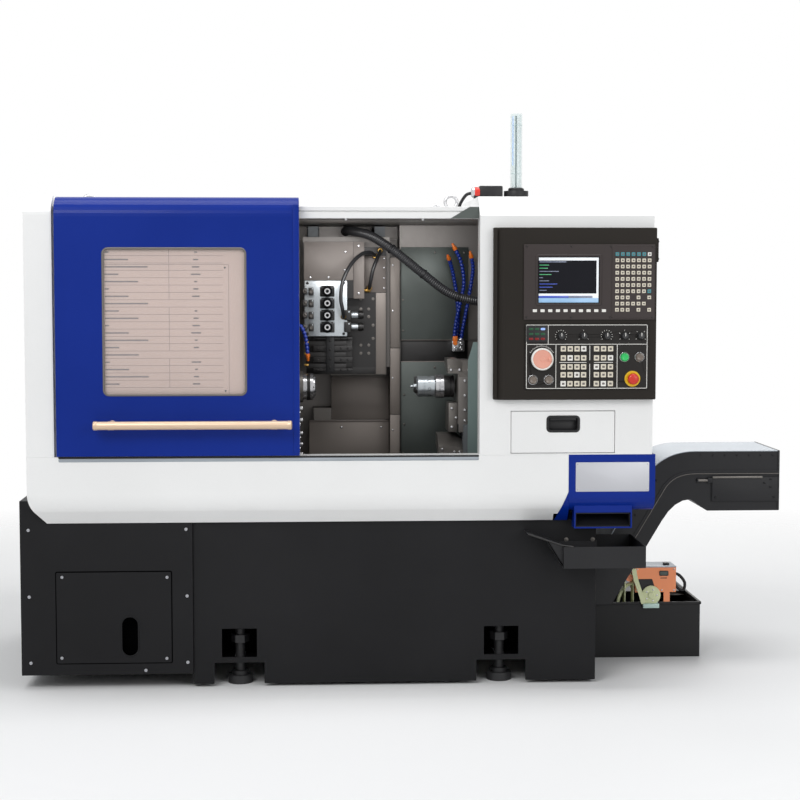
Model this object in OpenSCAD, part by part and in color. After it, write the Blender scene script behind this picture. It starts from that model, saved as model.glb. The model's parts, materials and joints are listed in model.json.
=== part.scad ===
// CNC turning lathe with a sliding door, twin spindles, a chip conveyor and a coolant tank.
// Millimetres, +Z up, the operator stands at -Y, origin on the floor under the middle.

/* [Overall] */
// Length from the left end of the base to the right end of the conveyor
overall_l = 2826; // [2700:1:3200]
// Depth from the front of the door handle to the back of the cabinet
overall_d = 1500; // [1450:1:1800]
// Height of the top of the enclosure above the floor
enclosure_h = 1770; // [1760:1:1900]

/* [Enclosure] */
// Length of the white enclosure
enclosure_l = 2228; // [2220:1:2300]
// Inset of the enclosure from the left end of the base
enclosure_inset = 38; // [20:1:45]
// Height of the lower edge of the enclosure
enclosure_z = 603; // [600:1:630]
// Height of the sill under the door
sill_z = 847; // [840:1:860]
// Thickness of the sheet metal covers
sheet_t = 4; // [2:0.5:6]
// Length of the right cover that carries the console
right_cover_l = 623; // [610:1:640]
// Width of the work opening with the door slid away
opening_l = 641; // [600:1:660]
// Width of the column at the left end
left_column_l = 98; // [70:1:100]
// Radius of the rolled top edge of the left column and the door
roll_r = 70; // [40:1:90]
// Height of the sloped shoulder of the right cover
shoulder_h = 70; // [40:1:90]
// Depth of the sloped shoulder of the right cover
shoulder_d = 75; // [40:1:90]
// Drop of the roof below the top of the end covers
roof_drop = 45; // [38:1:60]
// Depth of the electrical cabinet at the back
cabinet_d = 250; // [200:1:280]

/* [Door] */
// Width of the door
door_l = 856; // [830:1:862]
// Depth of the door edges
door_t = 36; // [24:1:40]
// Distance that the door stands proud of the enclosure
door_proud = 15; // [8:1:20]
// Length of the window that shows
window_l = 498; // [400:1:560]
// Height of the window that shows
window_h = 515; // [400:1:560]
// Thickness of the window pane
pane_t = 6; // [4:0.5:10]
// Length of the handle bar
handle_l = 689; // [500:1:700]
// Diameter of the handle bar
handle_d = 30; // [20:1:40]
// Distance from the front of the handle bar to the door
handle_reach = 60; // [50:1:80]

/* [Base] */
// Set-back of the base behind the front of the enclosure
base_setback = 75; // [60:1:90]
// Length of the cover at the left end of the base
left_base_l = 615; // [590:1:616]
// Length of the base skirt
skirt_l = 1463; // [1450:1:1464]
// Thickness of the skirt walls
skirt_t = 12; // [8:1:16]
// Diameter of the pads of the levelling feet
foot_d = 90; // [70:1:110]
// Height of the underside of the bed
bed_z = 235; // [228:1:245]

/* [Spindles] */
// Height of the spindle axis
axis_z = 1068; // [1060:1:1080]
// Distance of the spindle axis behind the front of the enclosure
axis_setback = 425; // [415:1:435]
// Bore through the main spindle, for bar stock
bar_d = 42; // [20:1:50]
// Diameter of the main spindle shaft
spindle_d = 70; // [64:1:80]
// Diameter of the main spindle nose
nose_d = 100; // [90:1:106]
// Diameter of the sub-spindle chuck
chuck_d = 79; // [60:1:100]
// Diameter of the sub-spindle shaft
sub_shaft_d = 60; // [40:1:70]

/* [Tools] */
// Vertical pitch of the driven tools
tool_pitch = 46; // [44:0.5:48]
// Diameter of the collet nuts
nut_d = 43; // [36:0.5:43.5]
// Diameter of the driven tool shanks
shank_d = 30; // [20:1:34]

/* [Console] */
// Width of the console
console_l = 582; // [578:1:600]
// Height of the console
console_h = 611; // [600:1:630]
// Distance that the console stands proud of the enclosure
console_proud = 30; // [20:1:32]
// Width of the screen
screen_l = 223; // [180:1:230]
// Height of the screen
screen_h = 169; // [140:1:172]
// Diameter of the handwheel
handwheel_d = 80; // [60:1:84]
// Diameter of the rotary switches
knob_d = 28; // [18:1:34]
// Diameter of the emergency stop
estop_d = 40; // [30:1:46]
// Diameter of the push buttons
button_d = 27; // [18:1:30]

/* [Conveyor] */
// Width of the conveyor across the machine
conveyor_w = 350; // [320:1:360]
// Length of the conveyor head
head_l = 277; // [260:1:300]
// Height of the conveyor head
head_h = 227; // [215:1:240]
// Height of the underside of the conveyor head
head_z = 594; // [585:1:605]
// Thickness of the conveyor casing
casing_t = 5; // [3:1:8]
// Diameter of the drive drum in the conveyor head
drum_d = 130; // [100:1:140]

/* [Coolant] */
// Length of the coolant tank
tank_l = 481; // [420:1:500]
// Depth of the coolant tank
tank_d = 520; // [480:1:600]
// Height of the coolant tank
tank_h = 215; // [180:1:222]
// Width of the oil skimmer
skimmer_l = 160; // [120:1:180]

/* [Hidden] */
$fn = 64;

// Clearances and cut overruns
slide_gap = 0.3;
run_gap = 0.05;
over = 1;

// Places along X
left_x = -overall_l / 2;
right_x = overall_l / 2;
enc_x0 = left_x + enclosure_inset;
enc_x1 = enc_x0 + enclosure_l;
open_x1 = enc_x1 - right_cover_l;
open_x0 = open_x1 - opening_l;
column_x = enc_x0 + left_column_l;
door_x1 = open_x0;
door_x0 = door_x1 - door_l;
skirt_x0 = left_x + left_base_l;
skirt_x1 = skirt_x0 + skirt_l;
corner_l = 313;
corner_side_over = 12;
corner_x1 = enc_x1 + corner_side_over;
corner_x0 = corner_x1 - corner_l;

// Places along Y
front_y = -overall_d / 2;
rear_y = overall_d / 2;
door_y = front_y + handle_reach;
shell_y = door_y + door_proud;
door_gap = 14;
panel_y = door_y + door_t + door_gap;
base_y = shell_y + base_setback;
base_rear_inset = 190;
base_rear_y = rear_y - base_rear_inset;
cabinet_y = rear_y - cabinet_d;
axis_y = shell_y + axis_setback;
roof_front_y = shell_y + shoulder_d;

// Places along Z
roof_z = enclosure_h - roof_drop;
rail_h = 42;
rail_over = 7;
rail_z1 = roof_z + rail_over;
rail_z0 = rail_z1 - rail_h;

// An arc of a circle as a list of points
function arc(cx, cy, r, a0, a1, n = 10) =
  [for (i = [0:n]) [cx + r * cos(a0 + (a1 - a0) * i / n), cy + r * sin(a0 + (a1 - a0) * i / n)]];

// Places at given offsets from an origin
function places(origin, offsets) = [for (offset = offsets) origin + offset];

// A box between two corners
module block(x, y, z) translate([x[0], y[0], z[0]]) cube([x[1] - x[0], y[1] - y[0], z[1] - z[0]]);

// A flat outline in Y and Z, drawn out along X
module along_x(x) translate([x[0], 0, 0]) rotate([90, 0, 90]) linear_extrude(x[1] - x[0]) children();

// A flat outline in X and Z, drawn out along Y
module along_y(y) translate([0, y[1], 0]) rotate([90, 0, 0]) linear_extrude(y[1] - y[0]) children();

// A round bar along X, Y or Z
module rod_x(x, y, z, d) translate([x[0], y, z]) rotate([0, 90, 0]) cylinder(d = d, h = x[1] - x[0]);
module rod_y(x, y, z, d) translate([x, y[1], z]) rotate([90, 0, 0]) cylinder(d = d, h = y[1] - y[0]);
module rod_z(x, y, z, d) translate([x, y, z[0]]) cylinder(d = d, h = z[1] - z[0]);

// A rectangle with round corners, as a flat outline from true circles
module round_rect(x, y, r) {
  translate([x[0] + r, y[0]]) square([x[1] - x[0] - 2 * r, y[1] - y[0]]);
  translate([x[0], y[0] + r]) square([x[1] - x[0], y[1] - y[0] - 2 * r]);
  for (px = [x[0] + r, x[1] - r], py = [y[0] + r, y[1] - r]) translate([px, py]) circle(r = r);
}

// Base

// Places and sizes of the windows and notches at the feet
foot_x_offsets = [165, 1117];
foot_xs = places(skirt_x0, foot_x_offsets);
foot_inset = 80;
foot_ys = [base_y + foot_inset, base_rear_y - foot_inset];
foot_window_l = 126;
foot_window_z = [108, 212];
foot_notch_l = 180;
foot_notch_z = 88;
skirt_gap_z = 11;
conveyor_setback = 345;
conveyor_y0 = shell_y + conveyor_setback;
conveyor_y1 = conveyor_y0 + conveyor_w;
conveyor_gap = 15;
conveyor_y = [conveyor_y0 - conveyor_gap, conveyor_y1 + conveyor_gap];

module base_skirt() color("#262628") difference() {
  block([skirt_x0, skirt_x1], [base_y, base_rear_y], [skirt_gap_z, enclosure_z]);
  block([skirt_x0 + skirt_t, skirt_x1 - skirt_t], [base_y + skirt_t, base_rear_y - skirt_t],
    [skirt_gap_z - over, enclosure_z + over]);
  for (x = foot_xs) {
    block([x - foot_window_l / 2, x + foot_window_l / 2], [base_y - over, base_rear_y + over], foot_window_z);
    block([x - foot_notch_l / 2, x + foot_notch_l / 2], [base_y - over, base_rear_y + over],
      [skirt_gap_z - over, foot_notch_z]);
  }
  block([skirt_x1 - skirt_t - over, skirt_x1 + over], conveyor_y, [neck_hole_z[0], neck_hole_z[1]]);
}

// The bed: a cast block with a tunnel for the conveyor, a chip chute and pedestals for both spindles
bed_gap = 6;
bed_x = [skirt_x0 + skirt_t + bed_gap, skirt_x1 - skirt_t - bed_gap];
bed_y = [base_y + skirt_t + bed_gap, base_rear_y - skirt_t - bed_gap];
way_drop = 138;
way_z = axis_z - way_drop;
pedestal_w = 220;
pedestal_y = [axis_y - pedestal_w / 2, axis_y + pedestal_w / 2];
head_pedestal_inset = 29;
head_pedestal_x = [bed_x[0], open_x0 - head_pedestal_inset];
sub_pedestal_offsets = [-30, 300];
sub_pedestal_x = places(open_x1, sub_pedestal_offsets);
chute_insets = [111, 80];
chute_x = [open_x0 + chute_insets[0], open_x1 - chute_insets[1]];
carriage_setback = 675;
carriage_t = 95;
carriage_y = [shell_y + carriage_setback, shell_y + carriage_setback + carriage_t];
chute_y = [conveyor_y[0], carriage_y[0]];
column_setback = 905;
column_d = 250;
column_y = [shell_y + column_setback, shell_y + column_setback + column_d];
tool_inset = 11;
tool_l = 340;
tool_x = [open_x0 + tool_inset, open_x0 + tool_inset + tool_l];
column_drop = 85;
column_top = roof_z - column_drop;
rail_w = 40;
tool_rail_xs = [tool_x[0] + rail_w, tool_x[1] - rail_w];
tool_rail_reach = 260;
tool_rail_y0 = column_y[0] - tool_rail_reach;

module bed_casting() color("#4a4d50") {
  difference() {
    union() {
      block(bed_x, bed_y, [bed_z, enclosure_z]);
      block(head_pedestal_x, pedestal_y, [enclosure_z - over, way_z]);
      block(sub_pedestal_x, pedestal_y, [enclosure_z - over, way_z]);
      block(tool_x, column_y, [enclosure_z - over, column_top + rail_w]);
      for (x = tool_rail_xs)
        block([x - rail_w / 2, x + rail_w / 2], [tool_rail_y0, column_y[0] + over],
          [column_top, column_top + rail_w]);
    }
    block([conveyor_tail_x - conveyor_gap, bed_x[1] + over], conveyor_y,
      [bed_z - over, trough_z1 + conveyor_gap]);
    block([incline_x - conveyor_gap, bed_x[1] + over], conveyor_y, [bed_z - over, neck_hole_z[1]]);
    block(chute_x, chute_y, [bed_z - over, enclosure_z + over]);
  }
}

foot_pad_h = 30;
foot_neck_d = 60;
foot_neck_h = 15;
foot_stem_d = 36;
foot_nut_d = 66;
foot_nut_z = 150;
foot_nut_h = 28;

module levelling_feet() color("#1c1c1e") for (x = foot_xs, y = foot_ys) translate([x, y, 0]) {
  cylinder(d = foot_d, h = foot_pad_h);
  translate([0, 0, foot_pad_h]) cylinder(d = foot_neck_d, h = foot_neck_h);
  cylinder(d = foot_stem_d, h = bed_z);
  translate([0, 0, foot_nut_z]) cylinder(d = foot_nut_d, h = foot_nut_h, $fn = 6);
}

// Cover at the left end of the base, with the access panel on its front
left_base_z = [52, enclosure_z];
left_base_proud = 12;
left_base_y = base_y - left_base_proud;
access_x_offsets = [128, 537];
access_x = places(left_x, access_x_offsets);
access_z = [96, 425];
access_margin = 20;
slot_offset = 389;
slot_x = left_x + slot_offset;
slot_w = 56;
slot_z = [122, 262];

module slot_outline() {
  translate([slot_x - slot_w / 2, slot_z[0] + slot_w / 2]) square([slot_w, slot_z[1] - slot_z[0] - slot_w]);
  for (z = [slot_z[0] + slot_w / 2, slot_z[1] - slot_w / 2]) translate([slot_x, z]) circle(d = slot_w);
}

left_lip_h = 81;
left_lip_gap = 2;

module left_base_cover() color("#28282a") {
  difference() {
    block([left_x, skirt_x0], [left_base_y, base_rear_y], left_base_z);
    block([left_x + sheet_t, skirt_x0 - sheet_t], [left_base_y + sheet_t, base_rear_y - sheet_t],
      [left_base_z[0] - over, left_base_z[1] - sheet_t]);
    block([access_x[0] + access_margin, access_x[1] - access_margin],
      [left_base_y - over, left_base_y + sheet_t + over],
      [access_z[0] + access_margin, access_z[1] - access_margin]);
  }
  difference() {
    block([left_x, enc_x0 + lower_roll_r / 2], [left_base_y, cabinet_y],
      [left_base_z[1] - sheet_t, left_base_z[1] + left_lip_h]);
    lower_solid(-left_lip_gap, cabinet_y + over);
  }
}

module access_panel() color("#2c2c2e") along_y([left_base_y - sheet_t, left_base_y]) difference() {
  round_rect(access_x, access_z, access_margin / 4);
  slot_outline();
}

// White enclosure

// Outline in Y and Z of the lower front cover, drawn in by t from the outside
lower_roll_z = 713;
lower_roll_r = 110;
lower_roll_a = 35;
lower_bevel_d = 40;
lower_x1 = corner_x0;
lower_end_cut = 44;
function lower_bevel_y(t) = shell_y + lower_roll_r - (lower_roll_r - t) * cos(lower_roll_a);
function lower_bevel_z(t) = lower_roll_z - (lower_roll_r - t) * sin(lower_roll_a);
function lower_profile(t, back) = concat(
  [[back, sill_z - t], [shell_y + t, sill_z - t]],
  arc(shell_y + lower_roll_r, lower_roll_z, lower_roll_r - t, 180, 180 + lower_roll_a),
  [[lower_bevel_y(t) + lower_bevel_d, enclosure_z + t], [back, enclosure_z + t]]
);
function lower_front_outline(t) = concat(
  [[lower_x1 - t, sill_z], [enc_x0 + t, sill_z]],
  arc(enc_x0 + lower_roll_r, lower_roll_z, lower_roll_r - t, 180, 180 + lower_roll_a),
  [[enc_x0 + lower_bevel_y(t) - shell_y + lower_bevel_d, enclosure_z],
   [lower_x1 - t - lower_end_cut, enclosure_z], [lower_x1 - t, lower_roll_z]]
);

module lower_solid(t, back) intersection() {
  along_x([enc_x0, lower_x1]) polygon(lower_profile(t, back));
  along_y([shell_y, back]) polygon(lower_front_outline(t));
}

module lower_front_cover() color("#f2f2f0") difference() {
  lower_solid(0, cabinet_y);
  lower_solid(sheet_t, cabinet_y + over);
  block([enc_x0 + sheet_t, lower_x1 + over], [roof_front_y, cabinet_y + over],
    [sill_z - sheet_t - over, sill_z + over]);
  block([enc_x0 + lower_roll_r, lower_x1 + over], [base_y, cabinet_y + over],
    [enclosure_z - over, enclosure_z + sheet_t + over]);
  block([lower_x1 - lower_end_cut - sheet_t - over, lower_x1 + over], [panel_y + sheet_t, cabinet_y + over],
    [enclosure_z - over, sill_z + over]);
}

// Outline in Y and Z of a front with a rolled top edge
function rolled_profile(y, z0, z1, r, t, back) = concat(
  [[back, z0], [y + t, z0]],
  arc(y + r, z1 - r, r - t, 180, 90),
  [[back, z1 - t]]
);

bar_port_d = 90;
end_round_r = 30;

// Outline in X and Z of an end cover with a rounded outer top corner, from its outer side x to its inner side
function end_outline(x, inner_x, side, t) = concat(
  [[inner_x, sill_z - 2 * over], [x + side * t, sill_z - 2 * over]],
  arc(x + side * end_round_r, enclosure_h - end_round_r, end_round_r - t, 90 + 90 * side, 90),
  [[inner_x, enclosure_h - t]]
);

module left_end_solid(t) intersection() {
  along_x([enc_x0 + t, column_x - t])
    polygon(rolled_profile(shell_y, sill_z - min(t, over), enclosure_h, roll_r, t, cabinet_y + min(t, over)));
  along_y([shell_y - over, cabinet_y + 2 * over]) polygon(end_outline(enc_x0, column_x, 1, t));
}

module left_end_cover() color("#f2f2f0") difference() {
  left_end_solid(0);
  left_end_solid(sheet_t);
  block([column_x - sheet_t - over, column_x + over], [panel_y + sheet_t, cabinet_y + over],
    [sill_z - over, roof_z]);
  rod_x([enc_x0 - over, enc_x0 + sheet_t + over], axis_y, axis_z, bar_port_d);
}

module fixed_panel() color("#ecece9") {
  block([column_x, open_x0], [panel_y, panel_y + sheet_t], [sill_z, rail_z0]);
  block([open_x0 - sheet_t, open_x0], [panel_y, roof_front_y], [sill_z, rail_z0]);
}

// Roof between the two end covers, with a turned-down front edge
module roof_cover() color("#eeeeec") difference() {
  block([column_x, open_x1], [roof_front_y, cabinet_y], [rail_z0, roof_z]);
  block([column_x + sheet_t, open_x1 - sheet_t], [roof_front_y + sheet_t, cabinet_y + over],
    [rail_z0 - over, roof_z - sheet_t]);
}

// Outline in Y and Z of the right cover with its sloped shoulder
function shoulder_profile(t, z0, back) = [
  [back, z0], [shell_y + t, z0], [shell_y + t, enclosure_h - shoulder_h - t / 2],
  [shell_y + shoulder_d + t / 2, enclosure_h - t], [back, enclosure_h - t]
];

console_inset = 46;
console_x0 = open_x1 + console_inset;
console_x1 = console_x0 + console_l;
console_rise = 199;
console_z0 = sill_z + console_rise;
console_z1 = console_z0 + console_h;
console_lip = 24;
drawer_x_offsets = [112, 488];
drawer_x = places(open_x1, drawer_x_offsets);
drawer_z_offsets = [5, 158];
drawer_z = places(sill_z, drawer_z_offsets);
drawer_gap = 2;
drawer_depth = 300;
drawer_runner_h = 60;
runner_w = 30;
side_skirt_rise = 62;
side_skirt_z = enclosure_z + side_skirt_rise;
corner_d = 330;
corner_y1 = shell_y + corner_d;

module right_end_solid(t) intersection() {
  along_x([open_x1 + t, enc_x1 - t])
    polygon(shoulder_profile(t, sill_z - min(t, over), cabinet_y + min(t, over)));
  along_y([shell_y - over, cabinet_y + 2 * over]) polygon(end_outline(enc_x1, open_x1, -1, t));
}

module right_front_cover() color("#f2f2f0") {
  difference() {
    right_end_solid(0);
    right_end_solid(sheet_t);
    block([open_x1 - over, open_x1 + sheet_t + over], [roof_front_y, cabinet_y + over],
      [sill_z - over, roof_z]);
    block([console_x0 + console_lip, console_x1 - console_lip], [shell_y - over, shell_y + sheet_t + over],
      [console_z0 + console_lip, console_z1 - console_lip]);
    block([drawer_x[0], drawer_x[1]], [shell_y - over, shell_y + sheet_t + over], drawer_z);
  }
  for (x = [drawer_x[0] - runner_w, drawer_x[1]])
    block([x, x + runner_w], [shell_y + sheet_t, shell_y + sheet_t + drawer_depth],
      [sill_z, sill_z + drawer_runner_h]);
  block([enc_x1 - sheet_t, enc_x1], [corner_y1, cabinet_y], [side_skirt_z, sill_z]);
}

// Pull-out drawer with a recessed pull
drawer_wall = 3;
pull_x_offsets = [134, 243];
pull_x = places(drawer_x[0], pull_x_offsets);
pull_z_offsets = [81, 130];
pull_z = places(drawer_z[0], pull_z_offsets);
pull_depth = 24;
drawer_side = 4;

module drawer() color("#efefed") {
  difference() {
    union() {
      block([drawer_x[0] + drawer_gap, drawer_x[1] - drawer_gap], [shell_y, shell_y + sheet_t],
        [drawer_z[0] + drawer_gap, drawer_z[1] - drawer_gap]);
      block([drawer_x[0] + slide_gap, drawer_x[1] - slide_gap], [shell_y + sheet_t, shell_y + drawer_depth],
        [drawer_z[0] + drawer_gap + drawer_side, drawer_z[1] - drawer_gap - drawer_side]);
    }
    block([drawer_x[0] + slide_gap + drawer_wall, drawer_x[1] - slide_gap - drawer_wall],
      [shell_y + sheet_t + pull_depth + drawer_wall, shell_y + drawer_depth - drawer_wall],
      [drawer_z[0] + drawer_gap + drawer_side + drawer_wall, drawer_z[1]]);
    block(pull_x, [shell_y - over, shell_y + pull_depth], pull_z);
  }
}

module rear_cabinet() color("#e6e6e3") difference() {
  block([enc_x0, enc_x1], [cabinet_y, rear_y], [enclosure_z, roof_z]);
  block([enc_x0 + sheet_t, enc_x1 - sheet_t], [cabinet_y + sheet_t, rear_y - sheet_t],
    [enclosure_z + sheet_t, roof_z - sheet_t]);
}

// Rail along the top of the opening, on which the door hangs
rail_groove_h = 6;
rail_groove_d = 8;

module door_rail() color("#f0f0ee") difference() {
  block([column_x, open_x1], [panel_y, roof_front_y], [rail_z0, rail_z1]);
  block([column_x - over, open_x1 + over], [panel_y - over, panel_y + rail_groove_d],
    [rail_z1 - rail_h / 2, rail_z1 - rail_h / 2 + rail_groove_h]);
}

// Sliding door: one folded sheet with a rolled top that hangs over the rail
door_sill_gap = 3;
door_top_drop = 6;
door_z0 = sill_z + door_sill_gap;
door_z1 = enclosure_h - door_top_drop;
window_inset = 169;
window_rise = 220;
window_x = [door_x0 + window_inset, door_x0 + window_inset + window_l];
window_z = [sill_z + window_rise, sill_z + window_rise + window_h];
window_r = 18;
pane_lap = 15;
door_back_gap = 4;
door_back_y = roof_front_y - door_back_gap;

module door_panel() color("#1a3593") difference() {
  along_x([door_x0, door_x1]) polygon(rolled_profile(door_y, door_z0, door_z1, roll_r, 0, door_back_y));
  along_x([door_x0 + sheet_t, door_x1 - sheet_t])
    polygon(rolled_profile(door_y, door_z0 - over, door_z1, roll_r, sheet_t, door_back_y - sheet_t));
  block([door_x0 - over, door_x1 + over], [door_y + door_t, door_back_y + over],
    [door_z0 - over, rail_z1 + slide_gap]);
  along_y([door_y - over, door_y + sheet_t + over]) round_rect(window_x, window_z, window_r);
}

module door_window() color("#dcdcdc", 0.4) block(
  [window_x[0] - pane_lap, window_x[1] + pane_lap], [door_y + sheet_t, door_y + sheet_t + pane_t],
  [window_z[0] - pane_lap, window_z[1] + pane_lap]
);

handle_rise = 116;
handle_z = sill_z + handle_rise;
handle_inset = 30;
handle_x1 = door_x1 - handle_inset;
handle_post_d = 16;
handle_post_inset = 60;
handle_y = front_y + handle_d / 2;

module door_handle() color("#dcd8cc") {
  rod_x([handle_x1 - handle_l, handle_x1], handle_y, handle_z, handle_d);
  for (x = [handle_x1 - handle_l + handle_post_inset, handle_x1 - handle_post_inset])
    rod_y(x, [handle_y, door_y], handle_z, handle_post_d);
}

// Work area

// Lining of the work area, made of flat sheets with narrow seams between them
wall_t = 3;
lining_y0 = roof_front_y;
lining_overs = [20, 290];
lining_x = [open_x0 - lining_overs[0], open_x1 + lining_overs[1]];
jamb_over = 25;
jamb_x = open_x1 + jamb_over;
jamb_setback = 310;
jamb_y = shell_y + jamb_setback;
step_gap = 44;
step_x = tool_x[1] + step_gap;
column_gap = 15;
deep_y = column_y[0] - column_gap;
shallow_setback = 715;
shallow_y = shell_y + shallow_setback;
floor_z = enclosure_z;
ceiling_z = rail_z0;
nose_hole_w = 140;
sub_hole_gap = 2;
rail_hole_gap = 4;
panel_rise = 8;
upper_panel_rises = [633, 960];
upper_panel_z = places(floor_z, upper_panel_rises);
lower_panel_rises = [60, 545];
lower_panel_z = places(floor_z, lower_panel_rises);
panel_margin = 30;

// Faces and holes that the sheets of the lining meet
seam = 0.4;
front_wall_y = [lining_y0, lining_y0 + wall_t];
deep_wall_y = [deep_y - wall_t, deep_y];
floor_sheet_z = [floor_z, floor_z + wall_t];
ceiling_sheet_z = [ceiling_z - wall_t, ceiling_z];
wall_z = [floor_sheet_z[1], ceiling_sheet_z[0]];
sub_hole_x = sub_pedestal_x[0] - slide_gap;
sub_hole_y = pedestal_y[1] + sub_hole_gap;
sub_hole_z = axis_z + pedestal_w / 2 + sub_hole_gap;
nose_hole_y = [axis_y - nose_hole_w / 2, axis_y + nose_hole_w / 2];
nose_hole_z = [axis_z - nose_hole_w / 2, axis_z + nose_hole_w / 2];
rail_hole_z = column_top - rail_hole_gap;
rail_hole_w = rail_w + 2 * rail_hole_gap;
rail_hole_x = concat(
  [lining_x[0]], [for (x = tool_rail_xs) each [x - rail_hole_w / 2, x + rail_hole_w / 2]], [step_x]
);

// One flat sheet of the lining, short of the next sheet by a seam
module sheet(x, y, z) block([x[0], x[1] - seam], [y[0], y[1] - seam], [z[0], z[1] - seam]);

// Floor sheets round the chip chute and the right pedestal
module lining_floor() {
  sheet([lining_x[0], sub_hole_x], [lining_y0, chute_y[0]], floor_sheet_z);
  sheet([sub_hole_x, jamb_x], [lining_y0, jamb_y], floor_sheet_z);
  sheet([lining_x[0], chute_x[0]], [chute_y[0], deep_y], floor_sheet_z);
  sheet([chute_x[0], step_x], [chute_y[1], deep_y], floor_sheet_z);
  sheet([step_x, chute_x[1]], [chute_y[1], shallow_y], floor_sheet_z);
  sheet([chute_x[1], sub_hole_x], [chute_y[0], shallow_y], floor_sheet_z);
  sheet([sub_hole_x, lining_x[1]], [sub_hole_y, shallow_y], floor_sheet_z);
}

// Front sheets round the door opening, and the jamb beside it
module lining_front() {
  sheet([lining_x[0], jamb_x], front_wall_y, [wall_z[0], sill_z]);
  sheet([lining_x[0], open_x0 - wall_t], front_wall_y, [sill_z, wall_z[1]]);
  sheet([open_x1, jamb_x], front_wall_y, [sill_z, wall_z[1]]);
  sheet([jamb_x - wall_t, jamb_x], [front_wall_y[1], jamb_y], wall_z);
  sheet([jamb_x - wall_t, lining_x[1]], [jamb_y, jamb_y + wall_t], wall_z);
}

// Left sheets round the spindle nose, and right sheets over the right pedestal
module lining_sides() {
  left = [lining_x[0], lining_x[0] + wall_t];
  left_y = [front_wall_y[1], deep_wall_y[0]];
  sheet(left, left_y, [wall_z[0], nose_hole_z[0]]);
  sheet(left, left_y, [nose_hole_z[1], wall_z[1]]);
  sheet(left, [left_y[0], nose_hole_y[0]], nose_hole_z);
  sheet(left, [nose_hole_y[1], left_y[1]], nose_hole_z);
  right = [lining_x[1] - wall_t, lining_x[1]];
  sheet(right, [jamb_y + wall_t, shallow_y - wall_t], [sub_hole_z, wall_z[1]]);
  sheet(right, [sub_hole_y, shallow_y - wall_t], [wall_z[0], sub_hole_z]);
}

// Back sheets: a deep part behind the tool slide and a shallow part with two raised panels
module lining_back() {
  sheet([lining_x[0], step_x], deep_wall_y, [wall_z[0], rail_hole_z]);
  for (i = [0 : 2 : len(rail_hole_x) - 1])
    sheet([rail_hole_x[i], rail_hole_x[i + 1]], deep_wall_y, [rail_hole_z, wall_z[1]]);
  sheet([step_x - wall_t, step_x], [shallow_y, deep_wall_y[0]], wall_z);
  sheet([step_x - wall_t, lining_x[1]], [shallow_y - wall_t, shallow_y], wall_z);
  for (z = [upper_panel_z, lower_panel_z])
    sheet([step_x + panel_margin, lining_x[1] - panel_margin],
      [shallow_y - wall_t - panel_rise, shallow_y - wall_t], z);
}

module lining_ceiling() {
  sheet([lining_x[0], jamb_x], [lining_y0, jamb_y], ceiling_sheet_z);
  sheet(lining_x, [jamb_y, shallow_y], ceiling_sheet_z);
  sheet([lining_x[0], step_x], [shallow_y, deep_y], ceiling_sheet_z);
}

module splash_wall() color("#7d7873") {
  lining_floor();
  lining_front();
  lining_sides();
  lining_back();
  lining_ceiling();
  start = conduit_route[0];
  end = conduit_route[len(conduit_route) - 1];
  rod_y(start[0], [start[1] + slide_gap, deep_wall_y[0] - seam], start[2], gland_d);
  rod_x([end[0] + slide_gap, lining_x[1] - wall_t - seam], end[1], end[2], gland_d);
}

// Covers of the lower part of the tool column, stacked on the floor
way_cover_offsets = [-108, 57];
way_lower_z = [floor_z + wall_t, axis_z + way_cover_offsets[0]];
way_upper_z = [way_lower_z[1], axis_z + way_cover_offsets[1]];
way_lower_insets = [40, 10];
way_lower_x = [tool_x[0] + way_lower_insets[0], tool_x[1] - way_lower_insets[1]];
way_upper_insets = [110, 5];
way_upper_x = [tool_x[0] + way_upper_insets[0], tool_x[1] - way_upper_insets[1]];
way_cover_gap = 15;
way_lower_y = carriage_y[1] + way_cover_gap;
way_upper_y = way_lower_y + way_cover_gap;

module way_cover_box(x, y, z) difference() {
  block(x, [y, deep_y - wall_t], z);
  block([x[0] + wall_t, x[1] - wall_t], [y + wall_t, deep_y], [z[0] - over, z[1] - wall_t]);
}

module way_covers() color("#55524e") {
  way_cover_box(way_lower_x, way_lower_y, way_lower_z);
  way_cover_box(way_upper_x, way_upper_y, way_upper_z);
}

// Main spindle and its headstock, which slides on the left pedestal
nose_inset = 49;
nose_x = open_x0 + nose_inset;
nose_l = 38;
boss_l = 70;
boss_d = 118;
head_body_l = 310;
head_x1 = nose_x - nose_l - boss_l;
head_x = [head_x1 - head_body_l, head_x1];
head_body_w = 200;
head_body_y = [axis_y - head_body_w / 2, axis_y + head_body_w / 2];
head_body_rise = 112;
head_body_z = [way_z + slide_gap, axis_z + head_body_rise];
bearing_d = 110;
bearing_l = 30;
bearing_inset = 20;
spindle_tail = 220;
nose_gap = 0.5;

module headstock() color("#8b8d8f") difference() {
  union() {
    block(head_x, head_body_y, head_body_z);
    rod_x([head_x[1] - over, head_x[1] + boss_l], axis_y, axis_z, boss_d);
  }
  rod_x([head_x[0] - over, head_x[1] + boss_l + over], axis_y, axis_z, spindle_d + 2 * over);
  for (x = [head_x[0] + bearing_inset, head_x[1] - bearing_inset - bearing_l])
    rod_x([x, x + bearing_l], axis_y, axis_z, bearing_d);
}

module spindle_bearings() color("#b9bcc0")
  for (x = [head_x[0] + bearing_inset, head_x[1] - bearing_inset - bearing_l]) difference() {
    rod_x([x, x + bearing_l], axis_y, axis_z, bearing_d);
    rod_x([x - over, x + bearing_l + over], axis_y, axis_z, spindle_d + 2 * run_gap);
  }

module main_spindle() color("#c9ccd0") difference() {
  union() {
    rod_x([head_x[0] - spindle_tail, nose_x], axis_y, axis_z, spindle_d);
    rod_x([nose_x - nose_l + nose_gap, nose_x], axis_y, axis_z, nose_d);
  }
  rod_x([head_x[0] - spindle_tail - over, nose_x + over], axis_y, axis_z, bar_d);
}

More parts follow.
